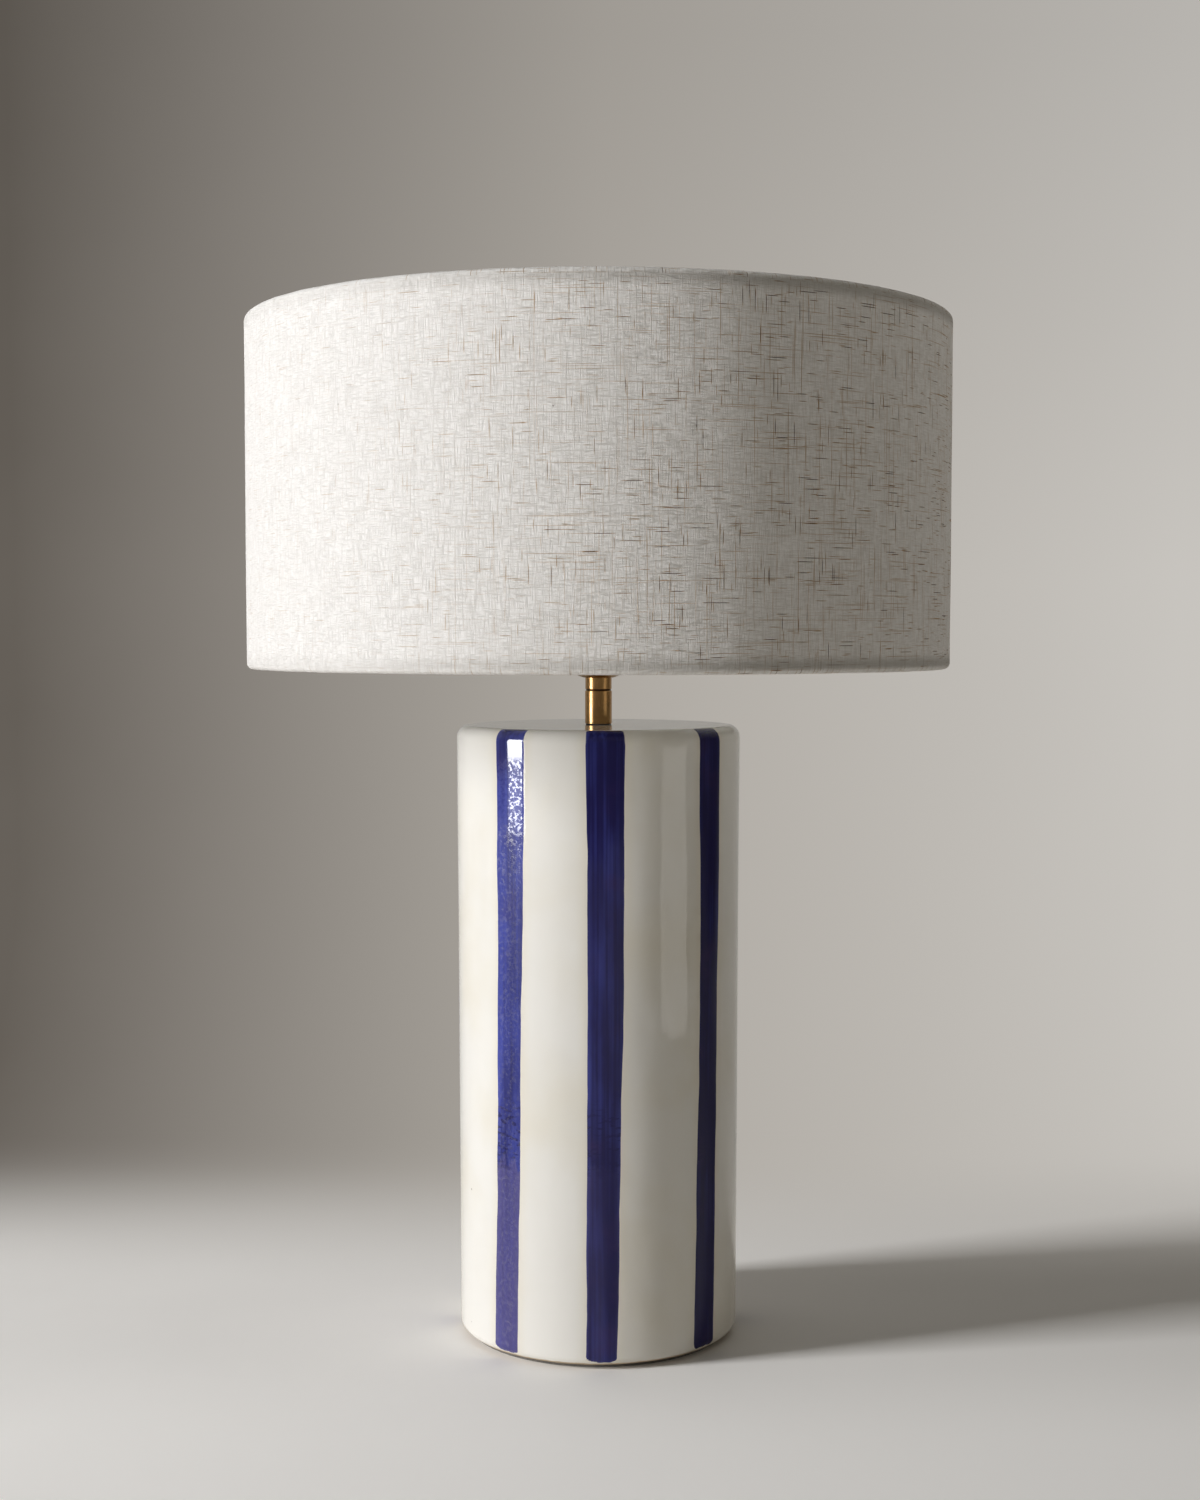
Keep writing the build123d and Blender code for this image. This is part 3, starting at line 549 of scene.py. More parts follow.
def paint_nearby(spot):
    """How strongly the white glaze is stained by the nearest stroke at a point of the body."""
    share = (TOP_Z - spot.z) / (TOP_Z - FOOT_Z)
    turn = math.degrees(math.atan2(spot.y, spot.x)) + 90
    nearest = STAIN_SPREAD
    for centres, widths, _ in STROKES:
        off = abs((turn - between(centres, share) + 180) % 360 - 180)
        nearest = min(nearest, max(0.0, off - between(widths, share) / 2))
    past_flat = math.hypot(spot.x, spot.y) - TOP_R + SHOULDER_RADIUS
    on_wall = min(1.0, max(0.0, past_flat / SHOULDER_RADIUS))
    return STAIN_COVER * on_wall * (1 - nearest / STAIN_SPREAD) ** 1.5


stain = body.data.attributes.new("beside_paint", "FLOAT", "POINT")
stain.data.foreach_set("value", [paint_nearby(vertex.co) for vertex in body.data.vertices])
for number, (centres, widths, load) in enumerate(STROKES, start=1):
    stroke = painted_stroke(number, centres, widths, load)
    stroke.data.materials.append(cobalt)
    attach(stroke, "base")

# Felt ring: pressed grey wool, cut as a ring and glued to the flat of the foot, so that the lamp
# stands on it without scratching.
felt_low, felt_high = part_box("felt_foot_ring")
FELT_OUT_R = felt_high.x
FELT_GAP = 0.0006
FELT_IN_R = foot_in_r + FOOT_EDGE + FELT_GAP
FELT_ROUND = 0.0005
FELT_FUZZ = 0.00012
FELT_SIDES = 240
FIBRE_SCALE = 1400.0
FIBRE_DEPTH = 0.0003
CLUMP_SCALE = 220.0
FELT_ROUGH = 0.95
FELT_SHEEN = 0.4
FELT_GREY = (0.085, 0.078, 0.070, 1)
FELT_PALE = (0.20, 0.19, 0.17, 1)

felt_profile = [(FELT_IN_R, felt_high.z), (FELT_OUT_R, felt_high.z)]
felt_profile += arc(FELT_OUT_R - FELT_ROUND, felt_low.z + FELT_ROUND, FELT_ROUND, 0, -90, 4)
felt_profile += arc(FELT_IN_R + FELT_ROUND, felt_low.z + FELT_ROUND, FELT_ROUND, -90, -180, 4)


def felt_shift(row, angle):
    """Fuzzy, slightly uneven edge of cut felt."""
    fuzz = brush_noise(60.0 * cos(angle), 60.0 * sin(angle), row * 0.7)
    return FELT_FUZZ * fuzz, 0.0


felt_ring = turned("felt_ring", felt_profile, even_turns(FELT_SIDES), felt_shift, sharp=60)
felt, tree, principled = shader("felt")
place = here(tree)
fibre_plugs = {"Vector": place, "Scale": FIBRE_SCALE, "Detail": 5.0, "Distortion": 1.5}
fibres = add(tree, "TexNoise", fibre_plugs)
clumps = add(tree, "TexNoise", {"Vector": place, "Scale": CLUMP_SCALE, "Detail": 3.0})
shade_of_grey = calc(tree, "MULTIPLY_ADD", fibres, 0.7, calc(tree, "MULTIPLY", clumps, 0.4))
fill(
    tree,
    principled,
    {
        "Base Color": mixed(tree, spread(tree, shade_of_grey, 0.35, 0.75), FELT_GREY, FELT_PALE),
        "Roughness": FELT_ROUGH,
        "Sheen Weight": FELT_SHEEN,
        "Normal": bump(tree, fibres, FIBRE_DEPTH),
    },
)
felt_ring.data.materials.append(felt)
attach(felt_ring, "base")
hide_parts("felt_foot_ring")

# Grommet: a moulded black plastic bush pushed into the outlet low at the back, where it keeps the
# lead off the ceramic edge.
BLACK = (0.018, 0.018, 0.018, 1)
BLACK_WORN = (0.045, 0.044, 0.042, 1)
MOTTLE_SIZE = 6
ROUGH_VARIES = 0.06


def dress(material, *names):
    """Gives carried-over solids their finish."""
    for name in names:
        nodes[name].data.materials.clear()
        nodes[name].data.materials.append(material)


def grained(name, plain_colour, mottle_colour, scale, roughness, depth):
    """Moulded, coated or cast finish: mottled between two colours, with a fine grain."""
    material, tree, principled = shader(name)
    place = here(tree)
    mottle = add(tree, "TexNoise", {"Vector": place, "Scale": scale / MOTTLE_SIZE, "Detail": 3.0})
    grain = add(tree, "TexNoise", {"Vector": place, "Scale": scale, "Detail": 3.0})
    plugs = {
        "Base Color": mixed(tree, spread(tree, mottle, 0.35, 0.7), plain_colour, mottle_colour),
        "Roughness": spread(tree, grain, 0.3, 0.7, roughness - ROUGH_VARIES, roughness + ROUGH_VARIES),
        "Normal": bump(tree, grain, depth),
    }
    fill(tree, principled, plugs)
    return material


black_plastic = grained(
    "black_plastic", BLACK, BLACK_WORN, scale=1800.0, roughness=0.45, depth=0.00003
)
dress(black_plastic, "cord_grommet")

# Clamp under the roof: a rubber cushion, a zinc-plated steel washer, a toothed lock washer and a
# hexagon nut on a hollow threaded tube. Tightening the nut holds neck and body together.
RUBBER = (0.012, 0.012, 0.012, 1)
RUBBER_BLOOM = (0.035, 0.034, 0.033, 1)
ZINC = (0.52, 0.53, 0.55, 1)
ZINC_DULL = (0.36, 0.36, 0.37, 1)
TUBE_PITCH = 0.001
TUBE_THREAD = 0.00042
TUBE_BORE_R = 0.00375
TUBE_CHAMFER = 0.0005
TUBE_SIDES = 48
TARNISH_SCALE = 130.0
LINE_SHARE = 0.35


def thread_shift(profile, pitch, depth, low, high, rounded=False):
    """Helical groove for the rows of a profile that are marked as threaded, fading at both ends."""

    def shift(row, angle):
        r, z, threaded = profile[row]
        if not threaded:
            return 0.0, 0.0
        phase = (z / pitch - angle / (2 * pi)) % 1.0
        if rounded:
            groove = 0.5 - 0.5 * cos(2 * pi * phase)
        else:
            groove = min(1.0, 1.3 * (1 - abs(2 * phase - 1)))
        fade = min(1.0, max(0.0, (z - low) / pitch), max(0.0, (high - z) / pitch))
        return -depth * groove * fade, 0.0

    return shift


def threaded_run(radius, start_z, end_z, pitch, steps=8):
    """Rows of a threaded stretch, several to each turn of the thread."""
    rows = max(2, round(abs(end_z - start_z) / pitch * steps))
    return [(r, z, True) for r, z in straight((radius, start_z), (radius, end_z), rows)]


def plain(*points):
    """Rows of a profile without thread."""
    return [(r, z, False) for r, z in points]


def metal(name, bright, dull, scales, rough, depth):
    """Worked metal: fine tool lines drawn along given scales, with tarnish in soft patches."""
    material, tree, principled = shader(name)
    place = here(tree)
    lines = effect(tree, streaks, {"Place": place, "Scales": scales, "Detail": 2.0})
    tarnish = add(tree, "TexNoise", {"Vector": place, "Scale": TARNISH_SCALE, "Detail": 5.0})
    patches = calc(tree, "MULTIPLY", tarnish, 1 - LINE_SHARE)
    worn = calc(tree, "MULTIPLY_ADD", lines, LINE_SHARE, patches)
    plugs = {
        "Base Color": mixed(tree, spread(tree, worn, 0.35, 0.66), bright, dull),
        "Metallic": 1.0,
        "Roughness": spread(tree, worn, 0.3, 0.7, *rough),
        "Normal": bump(tree, lines, depth),
    }
    fill(tree, principled, plugs)
    return material


ALONG_Z = (2600.0, 2600.0, 60.0)
ROUND_AXIS = (40.0, 40.0, 3600.0)
EVEN = (700.0, 700.0, 700.0)
rubber = grained("rubber", RUBBER, RUBBER_BLOOM, scale=1500.0, roughness=0.7, depth=0.00003)
zinc = metal("zinc", ZINC, ZINC_DULL, EVEN, rough=(0.22, 0.45), depth=0.000006)
dress(rubber, "inner_cushion_washer", "neck_gasket")
dress(zinc, "inner_clamp_washer", "lock_washer", "nipple_nut")

tube_low, tube_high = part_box("neck_nipple")
TUBE_R = tube_high.x
tube_rows = plain((TUBE_BORE_R, tube_high.z), (TUBE_R - TUBE_CHAMFER, tube_high.z))
tube_rows += threaded_run(TUBE_R, tube_high.z - TUBE_CHAMFER, tube_low.z + TUBE_CHAMFER, TUBE_PITCH)
tube_rows += plain((TUBE_R - TUBE_CHAMFER, tube_low.z), (TUBE_BORE_R, tube_low.z))
tube = turned(
    "threaded_tube",
    [(r, z) for r, z, _ in tube_rows],
    even_turns(TUBE_SIDES),
    thread_shift(tube_rows, TUBE_PITCH, TUBE_THREAD, tube_low.z, tube_high.z),
)
tube.data.materials.append(zinc)
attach(tube, "base")
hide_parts("neck_nipple")

# Neck: a turned sleeve of antique brass on a thin gasket, and a spacer above it whose nearly
# black colour is painted shade for the shadowed gap, so that it shows as a fine black seam. The
# tube runs through all of them.
BRASS = (0.50, 0.30, 0.125, 1)
BRASS_DULL = (0.43, 0.245, 0.095, 1)
# Painted shade: the spacer's nearly black colours stand for the shadow in the seam.
SEAM_SHADE = (0.050, 0.034, 0.018, 1)
SEAM_SHADE_DEEP = (0.018, 0.013, 0.009, 1)
brass = metal("antique_brass", BRASS, BRASS_DULL, ALONG_Z, rough=(0.24, 0.28), depth=0.000001)
seam_shade_brass = metal(
    "brass_with_painted_seam_shade", SEAM_SHADE, SEAM_SHADE_DEEP, ROUND_AXIS, rough=(0.4, 0.6), depth=0.000004
)
dress(brass, "neck_sleeve")
dress(seam_shade_brass, "neck_spacer_ring")

# Lampholder: a spun brass cap with a grub screw at the back, a porcelain block that carries the
# screw shell and the spring tongue, and a skirt with a long outside thread for the shade rings.
PORCELAIN = (0.72, 0.70, 0.65, 1)
PORCELAIN_GREY = (0.62, 0.59, 0.53, 1)
SHELL_BRASS = (0.80, 0.60, 0.27, 1)
SHELL_DULL = (0.58, 0.40, 0.15, 1)
SKIRT_PITCH = 0.0025
SKIRT_THREAD = 0.0008
SKIRT_BORE_R = 0.017
SKIRT_SPIGOT_R = 0.0182
SKIRT_COLLAR = 0.002
SKIRT_SPIGOT = 0.006
SKIRT_THREAD_R = 0.020
SKIRT_EDGE = 0.0006
COLLAR_EDGE = 0.0004
SKIRT_SIDES = 120
SKIRT_ROWS = 14
SHELL_PITCH = 0.003629
SHELL_THREAD = 0.0005
SHELL_WALL = 0.0005
SHELL_HOLE_R = 0.0085
SHELL_SIDES = 96
SHELL_ROWS = 16
porcelain = grained(
    "porcelain", PORCELAIN, PORCELAIN_GREY, scale=900.0, roughness=0.5, depth=0.00002
)
shell_brass = metal(
    "pressed_brass", SHELL_BRASS, SHELL_DULL, EVEN, rough=(0.18, 0.34), depth=0.000005
)
dress(brass, "holder_cap")
dress(zinc, "cap_grub_screw", "terminal_screws")
dress(porcelain, "contact_block")
dress(shell_brass, "centre_contact")

skirt_low, skirt_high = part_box("holder_skirt")
SKIRT_COLLAR_R = skirt_high.x
collar_z = skirt_low.z + SKIRT_SPIGOT
seat_z = collar_z + SKIRT_COLLAR
skirt_rows = plain((SKIRT_BORE_R, skirt_high.z), (SKIRT_THREAD_R - SKIRT_EDGE, skirt_high.z))
skirt_rows += threaded_run(SKIRT_THREAD_R, skirt_high.z - SKIRT_EDGE, seat_z, SKIRT_PITCH, SKIRT_ROWS)
skirt_rows += plain(
    (SKIRT_COLLAR_R - COLLAR_EDGE, seat_z),
    (SKIRT_COLLAR_R, seat_z - COLLAR_EDGE),
    (SKIRT_COLLAR_R, collar_z + COLLAR_EDGE),
    (SKIRT_COLLAR_R - COLLAR_EDGE, collar_z),
    (SKIRT_SPIGOT_R, collar_z),
    (SKIRT_SPIGOT_R, skirt_low.z),
    (SKIRT_BORE_R, skirt_low.z),
)
skirt = turned(
    "threaded_skirt",
    [(r, z) for r, z, _ in skirt_rows],
    even_turns(SKIRT_SIDES),
    thread_shift(skirt_rows, SKIRT_PITCH, SKIRT_THREAD, seat_z, skirt_high.z),
    sharp=50,
)
skirt.data.materials.append(brass)
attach(skirt, "base")
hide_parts("holder_skirt")

shell_low, shell_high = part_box("screw_shell")
SHELL_R = shell_high.x
shell_rows = plain((SHELL_HOLE_R, shell_low.z), (SHELL_R - SHELL_THREAD, shell_low.z))
shell_floor = shell_low.z + SHELL_WALL
shell_rows += threaded_run(SHELL_R, shell_floor, shell_high.z, SHELL_PITCH, SHELL_ROWS)
shell_rows += threaded_run(SHELL_R - SHELL_WALL, shell_high.z, shell_floor, SHELL_PITCH, SHELL_ROWS)
shell_rows += plain((SHELL_HOLE_R, shell_floor))
shell = turned(
    "threaded_shell",
    [(r, z) for r, z, _ in shell_rows],
    even_turns(SHELL_SIDES),
    thread_shift(shell_rows, SHELL_PITCH, SHELL_THREAD, shell_low.z, shell_high.z, rounded=True),
    sharp=60,
)
shell.data.materials.append(shell_brass)
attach(shell, "base")
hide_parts("screw_shell")

# Shade rings: two scalloped brass rings on the skirt's thread, one under the shade's fitter and
# one over it. Turned together they raise or lower the shade.
dress(brass, "shade_support_ring", "shade_clamp_ring")

# Bulb: a round opal globe cemented into a pressed screw cap, with a black glass insulator and a
# soldered contact button at its foot.
OPAL = (0.86, 0.845, 0.80, 1)
OPAL_WARM = (0.80, 0.775, 0.71, 1)
CAP_METAL = (0.66, 0.66, 0.67, 1)
CAP_DULL = (0.45, 0.45, 0.46, 1)
VITRITE = (0.012, 0.011, 0.013, 1)
VITRITE_PALE = (0.03, 0.025, 0.035, 1)
CAP_THREAD = 0.0009
CAP_WALL = 0.0004
CAP_TAPER = 0.0025
CAP_FOOT_R = 0.011
CAP_R = 0.0131
CAP_RIM = 0.0035
CAP_RIM_EDGE = 0.0004
opal = grained("opal_glass", OPAL, OPAL_WARM, scale=240.0, roughness=0.22, depth=0.000004)
vitrite = grained("vitrite", VITRITE, VITRITE_PALE, scale=500.0, roughness=0.14, depth=0.00002)
cap_metal = metal("cap_metal", CAP_METAL, CAP_DULL, EVEN, rough=(0.2, 0.38), depth=0.000005)
dress(opal, "bulb_glass")
dress(vitrite, "bulb_insulator")
dress(zinc, "bulb_contact")

cap_low, cap_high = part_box("bulb_cap")
CAP_RIM_R = cap_high.x
rim_z = cap_high.z - CAP_RIM
cap_rows = plain(
    (CAP_R - CAP_WALL, cap_high.z),
    (CAP_RIM_R - CAP_RIM_EDGE, cap_high.z),
    (CAP_RIM_R, cap_high.z - CAP_RIM_EDGE),
    (CAP_RIM_R, rim_z + CAP_RIM_EDGE),
    (CAP_R, rim_z),
)
cap_rows += threaded_run(CAP_R, rim_z, cap_low.z + CAP_TAPER, SHELL_PITCH, SHELL_ROWS)
cap_rows += plain((CAP_FOOT_R, cap_low.z), (CAP_WALL, cap_low.z), (CAP_WALL, cap_low.z + CAP_WALL))
cap_rows += plain(
    (CAP_FOOT_R - CAP_THREAD, cap_low.z + CAP_WALL),
    (CAP_R - CAP_THREAD - CAP_WALL, cap_low.z + CAP_TAPER),
    (CAP_R - CAP_THREAD - CAP_WALL, rim_z),
)
bulb_cap = turned(
    "threaded_cap",
    [(r, z) for r, z, _ in cap_rows],
    even_turns(SHELL_SIDES),
    thread_shift(cap_rows, SHELL_PITCH, CAP_THREAD, cap_low.z + CAP_TAPER, rim_z, rounded=True),
    sharp=60,
)
bulb_cap.data.materials.append(cap_metal)
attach(bulb_cap, "bulb")
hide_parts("bulb_cap")

# Shade frame: a flat fitter ring, three arms and two hoops of steel wire, welded and powder-coated
# white. The fitter sits between the shade rings.
WIRE_WHITE = (0.78, 0.775, 0.75, 1)
WIRE_SHADE = (0.70, 0.69, 0.66, 1)
white_wire = grained(
    "white_wire", WIRE_WHITE, WIRE_SHADE, scale=900.0, roughness=0.42, depth=0.000006
)
dress(white_wire, "shade_fitter_ring", "shade_arm_1", "shade_arm_2", "shade_arm_3")
dress(white_wire, "shade_top_ring", "shade_bottom_ring")

# Liner: a stiff white plastic sheet, rolled into a drum between the hoops. The linen is stuck to
# its outside.
LINER_WHITE = (0.82, 0.81, 0.77, 1)
LINER_WARM = (0.795, 0.782, 0.735, 1)
liner = grained("liner", LINER_WHITE, LINER_WARM, scale=420.0, roughness=0.55, depth=0.00001)
dress(liner, "shade_liner")

# Linen: natural slubby cloth stretched round the liner, lapped down the back, its edges rolled
# in round the wire hoops at top and bottom. Its brown and grey threads, specks and hem band are
# painted fainter on the left: a painted glare for the side that faces the light.
linen_low, linen_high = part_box("shade_linen")
SHADE_R = linen_high.x
LINEN = 0.0008
HEM = 0.0066
HEM_TAIL = 0.006
LAP = 0.012
LAP_ANGLE = pi / 2
LAP_STEP = 0.0005
THREAD = 0.00056
SLUB_THREAD = 0.00032
CLOTH_PALE = (0.862, 0.843, 0.826, 1)
CLOTH_GREY = (0.735, 0.706, 0.672, 1)
HEM_SHADE = (0.36, 0.34, 0.31, 1)
SLUB_PALE = (0.50, 0.345, 0.205, 1)
SLUB = (0.075, 0.032, 0.010, 1)
SPECK = (0.12, 0.065, 0.035, 1)
LINEN_SIDES = 480
LINEN_ROWS = 48
LINING_ROWS = 24
SLACK = 0.00022
PUCKER = 0.00012
HEM_WAVE = 0.00018
WEFT_RUN = 0.0060
WARP_RUN = 0.0085
WEAVE_DEPTH = 0.00027
SLUB_RISE = 0.6
SLUB_TAPER = 0.12
SLUB_KINDS = (
    # round the shade or up it; seed, run of the thread, where the brown starts, strength
    (True, 1.0, 0.019, 0.637, 1.0),
    (True, 4.0, 0.050, 0.612, 0.46),
    (False, 7.0, 0.022, 0.652, 1.0),
    (False, 9.0, 0.060, 0.616, 0.46),
)
PAINTED_GLARE_X = -0.15
PAINTED_GLARE_ENDS_X = 0.08
PAINTED_GLARE_KEEPS = 0.24
MOTE_CELLS = 75.0
MOTE_SIZE = 0.05
MOTE_SHARE = 0.07
HEM_BAND = (0.0008, 0.0036, 0.0042, 0.0105)
HEM_COVER = 0.62
LINEN_ROUGH = 0.92
LINEN_SHINE = 0.2
LINEN_SHEEN = 0.02

roll = HEM / 2
roll_r = SHADE_R - roll
hem_top = linen_high.z - HEM_TAIL
hem_bottom = linen_low.z + HEM_TAIL
inner_roll = roll - LINEN
top_roll_z = linen_high.z - roll
bottom_roll_z = linen_low.z + roll
cloth_in_r = SHADE_R - LINEN
linen_profile = straight((SHADE_R, top_roll_z), (SHADE_R, bottom_roll_z), LINEN_ROWS)
linen_profile += arc(roll_r, bottom_roll_z, roll, 0, -180, 14)[1:]
linen_profile += [(roll_r - roll, hem_bottom), (roll_r - inner_roll, hem_bottom)]
linen_profile += arc(roll_r, bottom_roll_z, inner_roll, -180, 0, 10)
linen_profile += straight((cloth_in_r, bottom_roll_z), (cloth_in_r, top_roll_z), LINING_ROWS)[1:]
linen_profile += arc(roll_r, top_roll_z, inner_roll, 0, 180, 10)[1:]
linen_profile += [(roll_r - inner_roll, hem_top), (roll_r - roll, hem_top)]
linen_profile += arc(roll_r, top_roll_z, roll, 180, 0, 14)[:-1]

lap_half = LAP / 2 / SHADE_R
lap_turns = [LAP_ANGLE + lap_half * share for share in (-1.06, -1.0, -0.5, 0.0, 0.5, 1.0, 1.06)]
linen_turns = sorted(set(even_turns(LINEN_SIDES) + lap_turns))


def linen_shift(row, angle):
    """Gentle slackness of the cloth, and the second thickness at its lap."""
    r, z = linen_profile[row]
    slack = SLACK * brush_noise(5.0 * cos(angle), 5.0 * sin(angle), 16.0 * z)
    pucker = PUCKER * brush_noise(34.0 * cos(angle), 34.0 * sin(angle), 9.0 * z)
    lapped = abs(angle - LAP_ANGLE) < lap_half * 1.03 and r > SHADE_R - LINEN / 2
    near_edge = min(linen_high.z - z, z - linen_low.z) < roll
    wave = HEM_WAVE * brush_noise(16.0 * cos(angle), 16.0 * sin(angle), 3.0)
    return slack + pucker + (LAP_STEP if lapped else 0.0), (wave if near_edge else 0.0)


linen = turned("linen_cover", linen_profile, linen_turns, linen_shift, sharp=70)

cloth_runs = [0.0]
for (r0, z0), (r1, z1) in zip(linen_profile, linen_profile[1:] + linen_profile[:1]):
    cloth_runs.append(cloth_runs[-1] + math.hypot(r1 - r0, z1 - z0))
cloth_map = linen.data.uv_layers.new(name="cloth")
sides = len(linen_turns)
for face in linen.data.polygons:
    corners = [linen.data.loops[i].vertex_index for i in face.loop_indices]
    rows = [corner // sides for corner in corners]
    columns = [corner % sides for corner in corners]
    wraps = max(columns) - min(columns) > 1
    closes = max(rows) - min(rows) > 1
    for i, row, column in zip(face.loop_indices, rows, columns):
        angle = linen_turns[column] + (2 * pi if wraps and column == 0 else 0.0)
        run = cloth_runs[-1] if closes and row == 0 else cloth_runs[row]
        cloth_map.data[i].uv = (angle * SHADE_R, run)

linen_cloth, tree, principled = shader("linen")
uv = add(tree, "UVMap", {}, uv_map="cloth")
cloth_axes = tree.nodes.new("ShaderNodeSeparateXYZ")
fill(tree, cloth_axes, {0: uv})
along, up = cloth_axes.outputs["X"], cloth_axes.outputs["Y"]
shade_axes = tree.nodes.new("ShaderNodeSeparateXYZ")
fill(tree, shade_axes, {0: here(tree)})
side_of_shade, height_on_shade = shade_axes.outputs["X"], shade_axes.outputs["Z"]


def yarn(run, across, seed, length, pitch=THREAD):
    """Smooth change along each thread of one direction, different from thread to thread."""
    count = calc(tree, "MULTIPLY", calc(tree, "FLOOR", calc(tree, "DIVIDE", across, pitch)), 3.7)
    spot = add(tree, "CombineXYZ", {"X": calc(tree, "DIVIDE", run, length), "Y": count, "Z": seed})
    return add(tree, "TexNoise", {"Vector": spot, "Scale": 1.0, "Detail": 1.0})


def ridge(across):
    """Rounded height across each thread."""
    return calc(tree, "ABSOLUTE", calc(tree, "SINE", calc(tree, "MULTIPLY", across, pi / THREAD)))


def slubs(run, across, seed, length, start, strength):
    """Thick brown stretches of the threads of one direction, tapering at both ends."""
    swollen = yarn(run, across, seed, length, SLUB_THREAD)
    return spread(tree, swollen, start, start + SLUB_TAPER, 0.0, strength)


# Painted glare: on the left, the side that faces the light, the cloth's threads, specks and hem band
# are kept to about a quarter of their strength, so that side reads washed out by light.
out_of_painted_glare = spread(tree, side_of_shade, PAINTED_GLARE_X, PAINTED_GLARE_ENDS_X, PAINTED_GLARE_KEEPS, 1.0)
brown = 0.0
for round_shade, seed, length, start, strength in SLUB_KINDS:
    run, across = (along, up) if round_shade else (up, along)
    brown = calc(tree, "MAXIMUM", brown, slubs(run, across, seed, length, start, strength))
cloudy = add(tree, "TexNoise", {"Vector": uv, "Scale": 34.0, "Detail": 3.0})
brown = calc(tree, "MULTIPLY", brown, spread(tree, cloudy, 0.30, 0.62, 0.45, 1.0))
brown = calc(tree, "MULTIPLY", brown, out_of_painted_glare)
weft = yarn(along, up, 11.0, WEFT_RUN)
warp = yarn(up, along, 13.0, WARP_RUN)
threads = calc(tree, "MULTIPLY_ADD", weft, 0.5, calc(tree, "MULTIPLY", warp, 0.5))
greyed = spread(tree, threads, 0.34, 0.66)
greyed = calc(tree, "MULTIPLY", greyed, spread(tree, out_of_painted_glare, 0.0, 1.0, 0.3, 1.0))
colour = mixed(tree, greyed, CLOTH_PALE, CLOTH_GREY)
slub_colour = mixed(tree, spread(tree, brown, 0.30, 0.95), SLUB_PALE, SLUB)
colour = mixed(tree, spread(tree, brown, 0.0, 0.50), colour, slub_colour)
mote_plugs = {"Place": uv, "Cells": MOTE_CELLS, "Size": MOTE_SIZE, "Share": MOTE_SHARE}
motes = effect(tree, flecks, mote_plugs)
colour = mixed(tree, calc(tree, "MULTIPLY", motes, out_of_painted_glare), colour, SPECK)
# Painted shade: a darker band just inside the top and bottom edges, standing for the rolled hem over
# its wire hoop letting less light through the cloth.
from_top = calc(tree, "SUBTRACT", linen_high.z, height_on_shade)
from_bottom = calc(tree, "SUBTRACT", height_on_shade, linen_low.z)
from_edge = calc(tree, "MINIMUM", from_top, from_bottom)
band_start, band_full, band_eases, band_end = HEM_BAND
painted_hem_shade = spread(tree, from_edge, band_start, band_full)
painted_hem_shade = calc(tree, "MULTIPLY", painted_hem_shade, spread(tree, from_edge, band_end, band_eases))
painted_hem_shade = calc(tree, "MULTIPLY", painted_hem_shade, calc(tree, "MULTIPLY", out_of_painted_glare, HEM_COVER))
colour = mixed(tree, painted_hem_shade, colour, HEM_SHADE)
weft_height = calc(tree, "MULTIPLY", ridge(up), spread(tree, weft, 0.3, 0.7, 0.1, 1.0))
warp_height = calc(tree, "MULTIPLY", ridge(along), spread(tree, warp, 0.3, 0.7, 0.1, 1.0))
relief = calc(tree, "MAXIMUM", weft_height, warp_height)
relief = calc(tree, "MULTIPLY_ADD", brown, SLUB_RISE, relief)
fill(
    tree,
    principled,
    {
        "Base Color": colour,
        "Roughness": LINEN_ROUGH,
        "Specular IOR Level": LINEN_SHINE,
        "Sheen Weight": LINEN_SHEEN,
        "Normal": bump(tree, relief, WEAVE_DEPTH),
    },
)
linen.data.materials.append(linen_cloth)
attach(linen, "shade")
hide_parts("shade_linen")

# Stage: a pale paper floor that sweeps up into a plain wall, and can be seen through from behind.
# The wall glows, its colour a painted gradient of light, dark on the left and dimmer towards the
# top. The floor's colour is a painted pool of light, brighter on the left, and its front glows a
# little for the camera. Far from the lamp it darkens, so that no side view is blown out. What the
# camera sees and what falls back on the lamp have their own colours.
FLOOR_HALF_WIDTH = 3.0
FLOOR_FRONT = -2.6
SWEEP_START = 0.36
SWEEP_RADIUS = 0.24
WALL_HEIGHT = 3.2
FLOOR_LEFT = (0.98, 0.962, 0.940, 1)
FLOOR_RIGHT = (0.83, 0.812, 0.790, 1)
FLOOR_GREY = (0.88, 0.862, 0.840, 1)
FLOOR_UNSEEN = (0.94, 0.905, 0.845, 1)
FLOOR_FAR = (0.18, 0.176, 0.170, 1)
WALL_LEFT = (0.125, 0.110, 0.094, 1)
WALL_MIDDLE = (0.42, 0.392, 0.356, 1)
WALL_RIGHT = (0.575, 0.553, 0.520, 1)
WALL_SPAN = 0.50
UNSEEN_NEAR = (0.38, 0.365, 0.34, 1)
UNSEEN_FAR = (0.09, 0.085, 0.075, 1)
FLOOR_FADE = (0.6, 2.0)
UNSEEN_FADE = (1.0, 1.8)
WALL_DIMS = (0.45, 0.91)
WALL_DIMMED = 0.83
FRONT_GLOW = (-0.02, -0.20)
FRONT_GLOW_STRENGTH = 0.10
WALL_STARTS = (0.07, 0.43)
FLOOR_MOTTLE = 0.4
WALL_MOTTLE = 0.04
PAPER_ROUGH = 0.75
PAPER_SHINE = 0.25

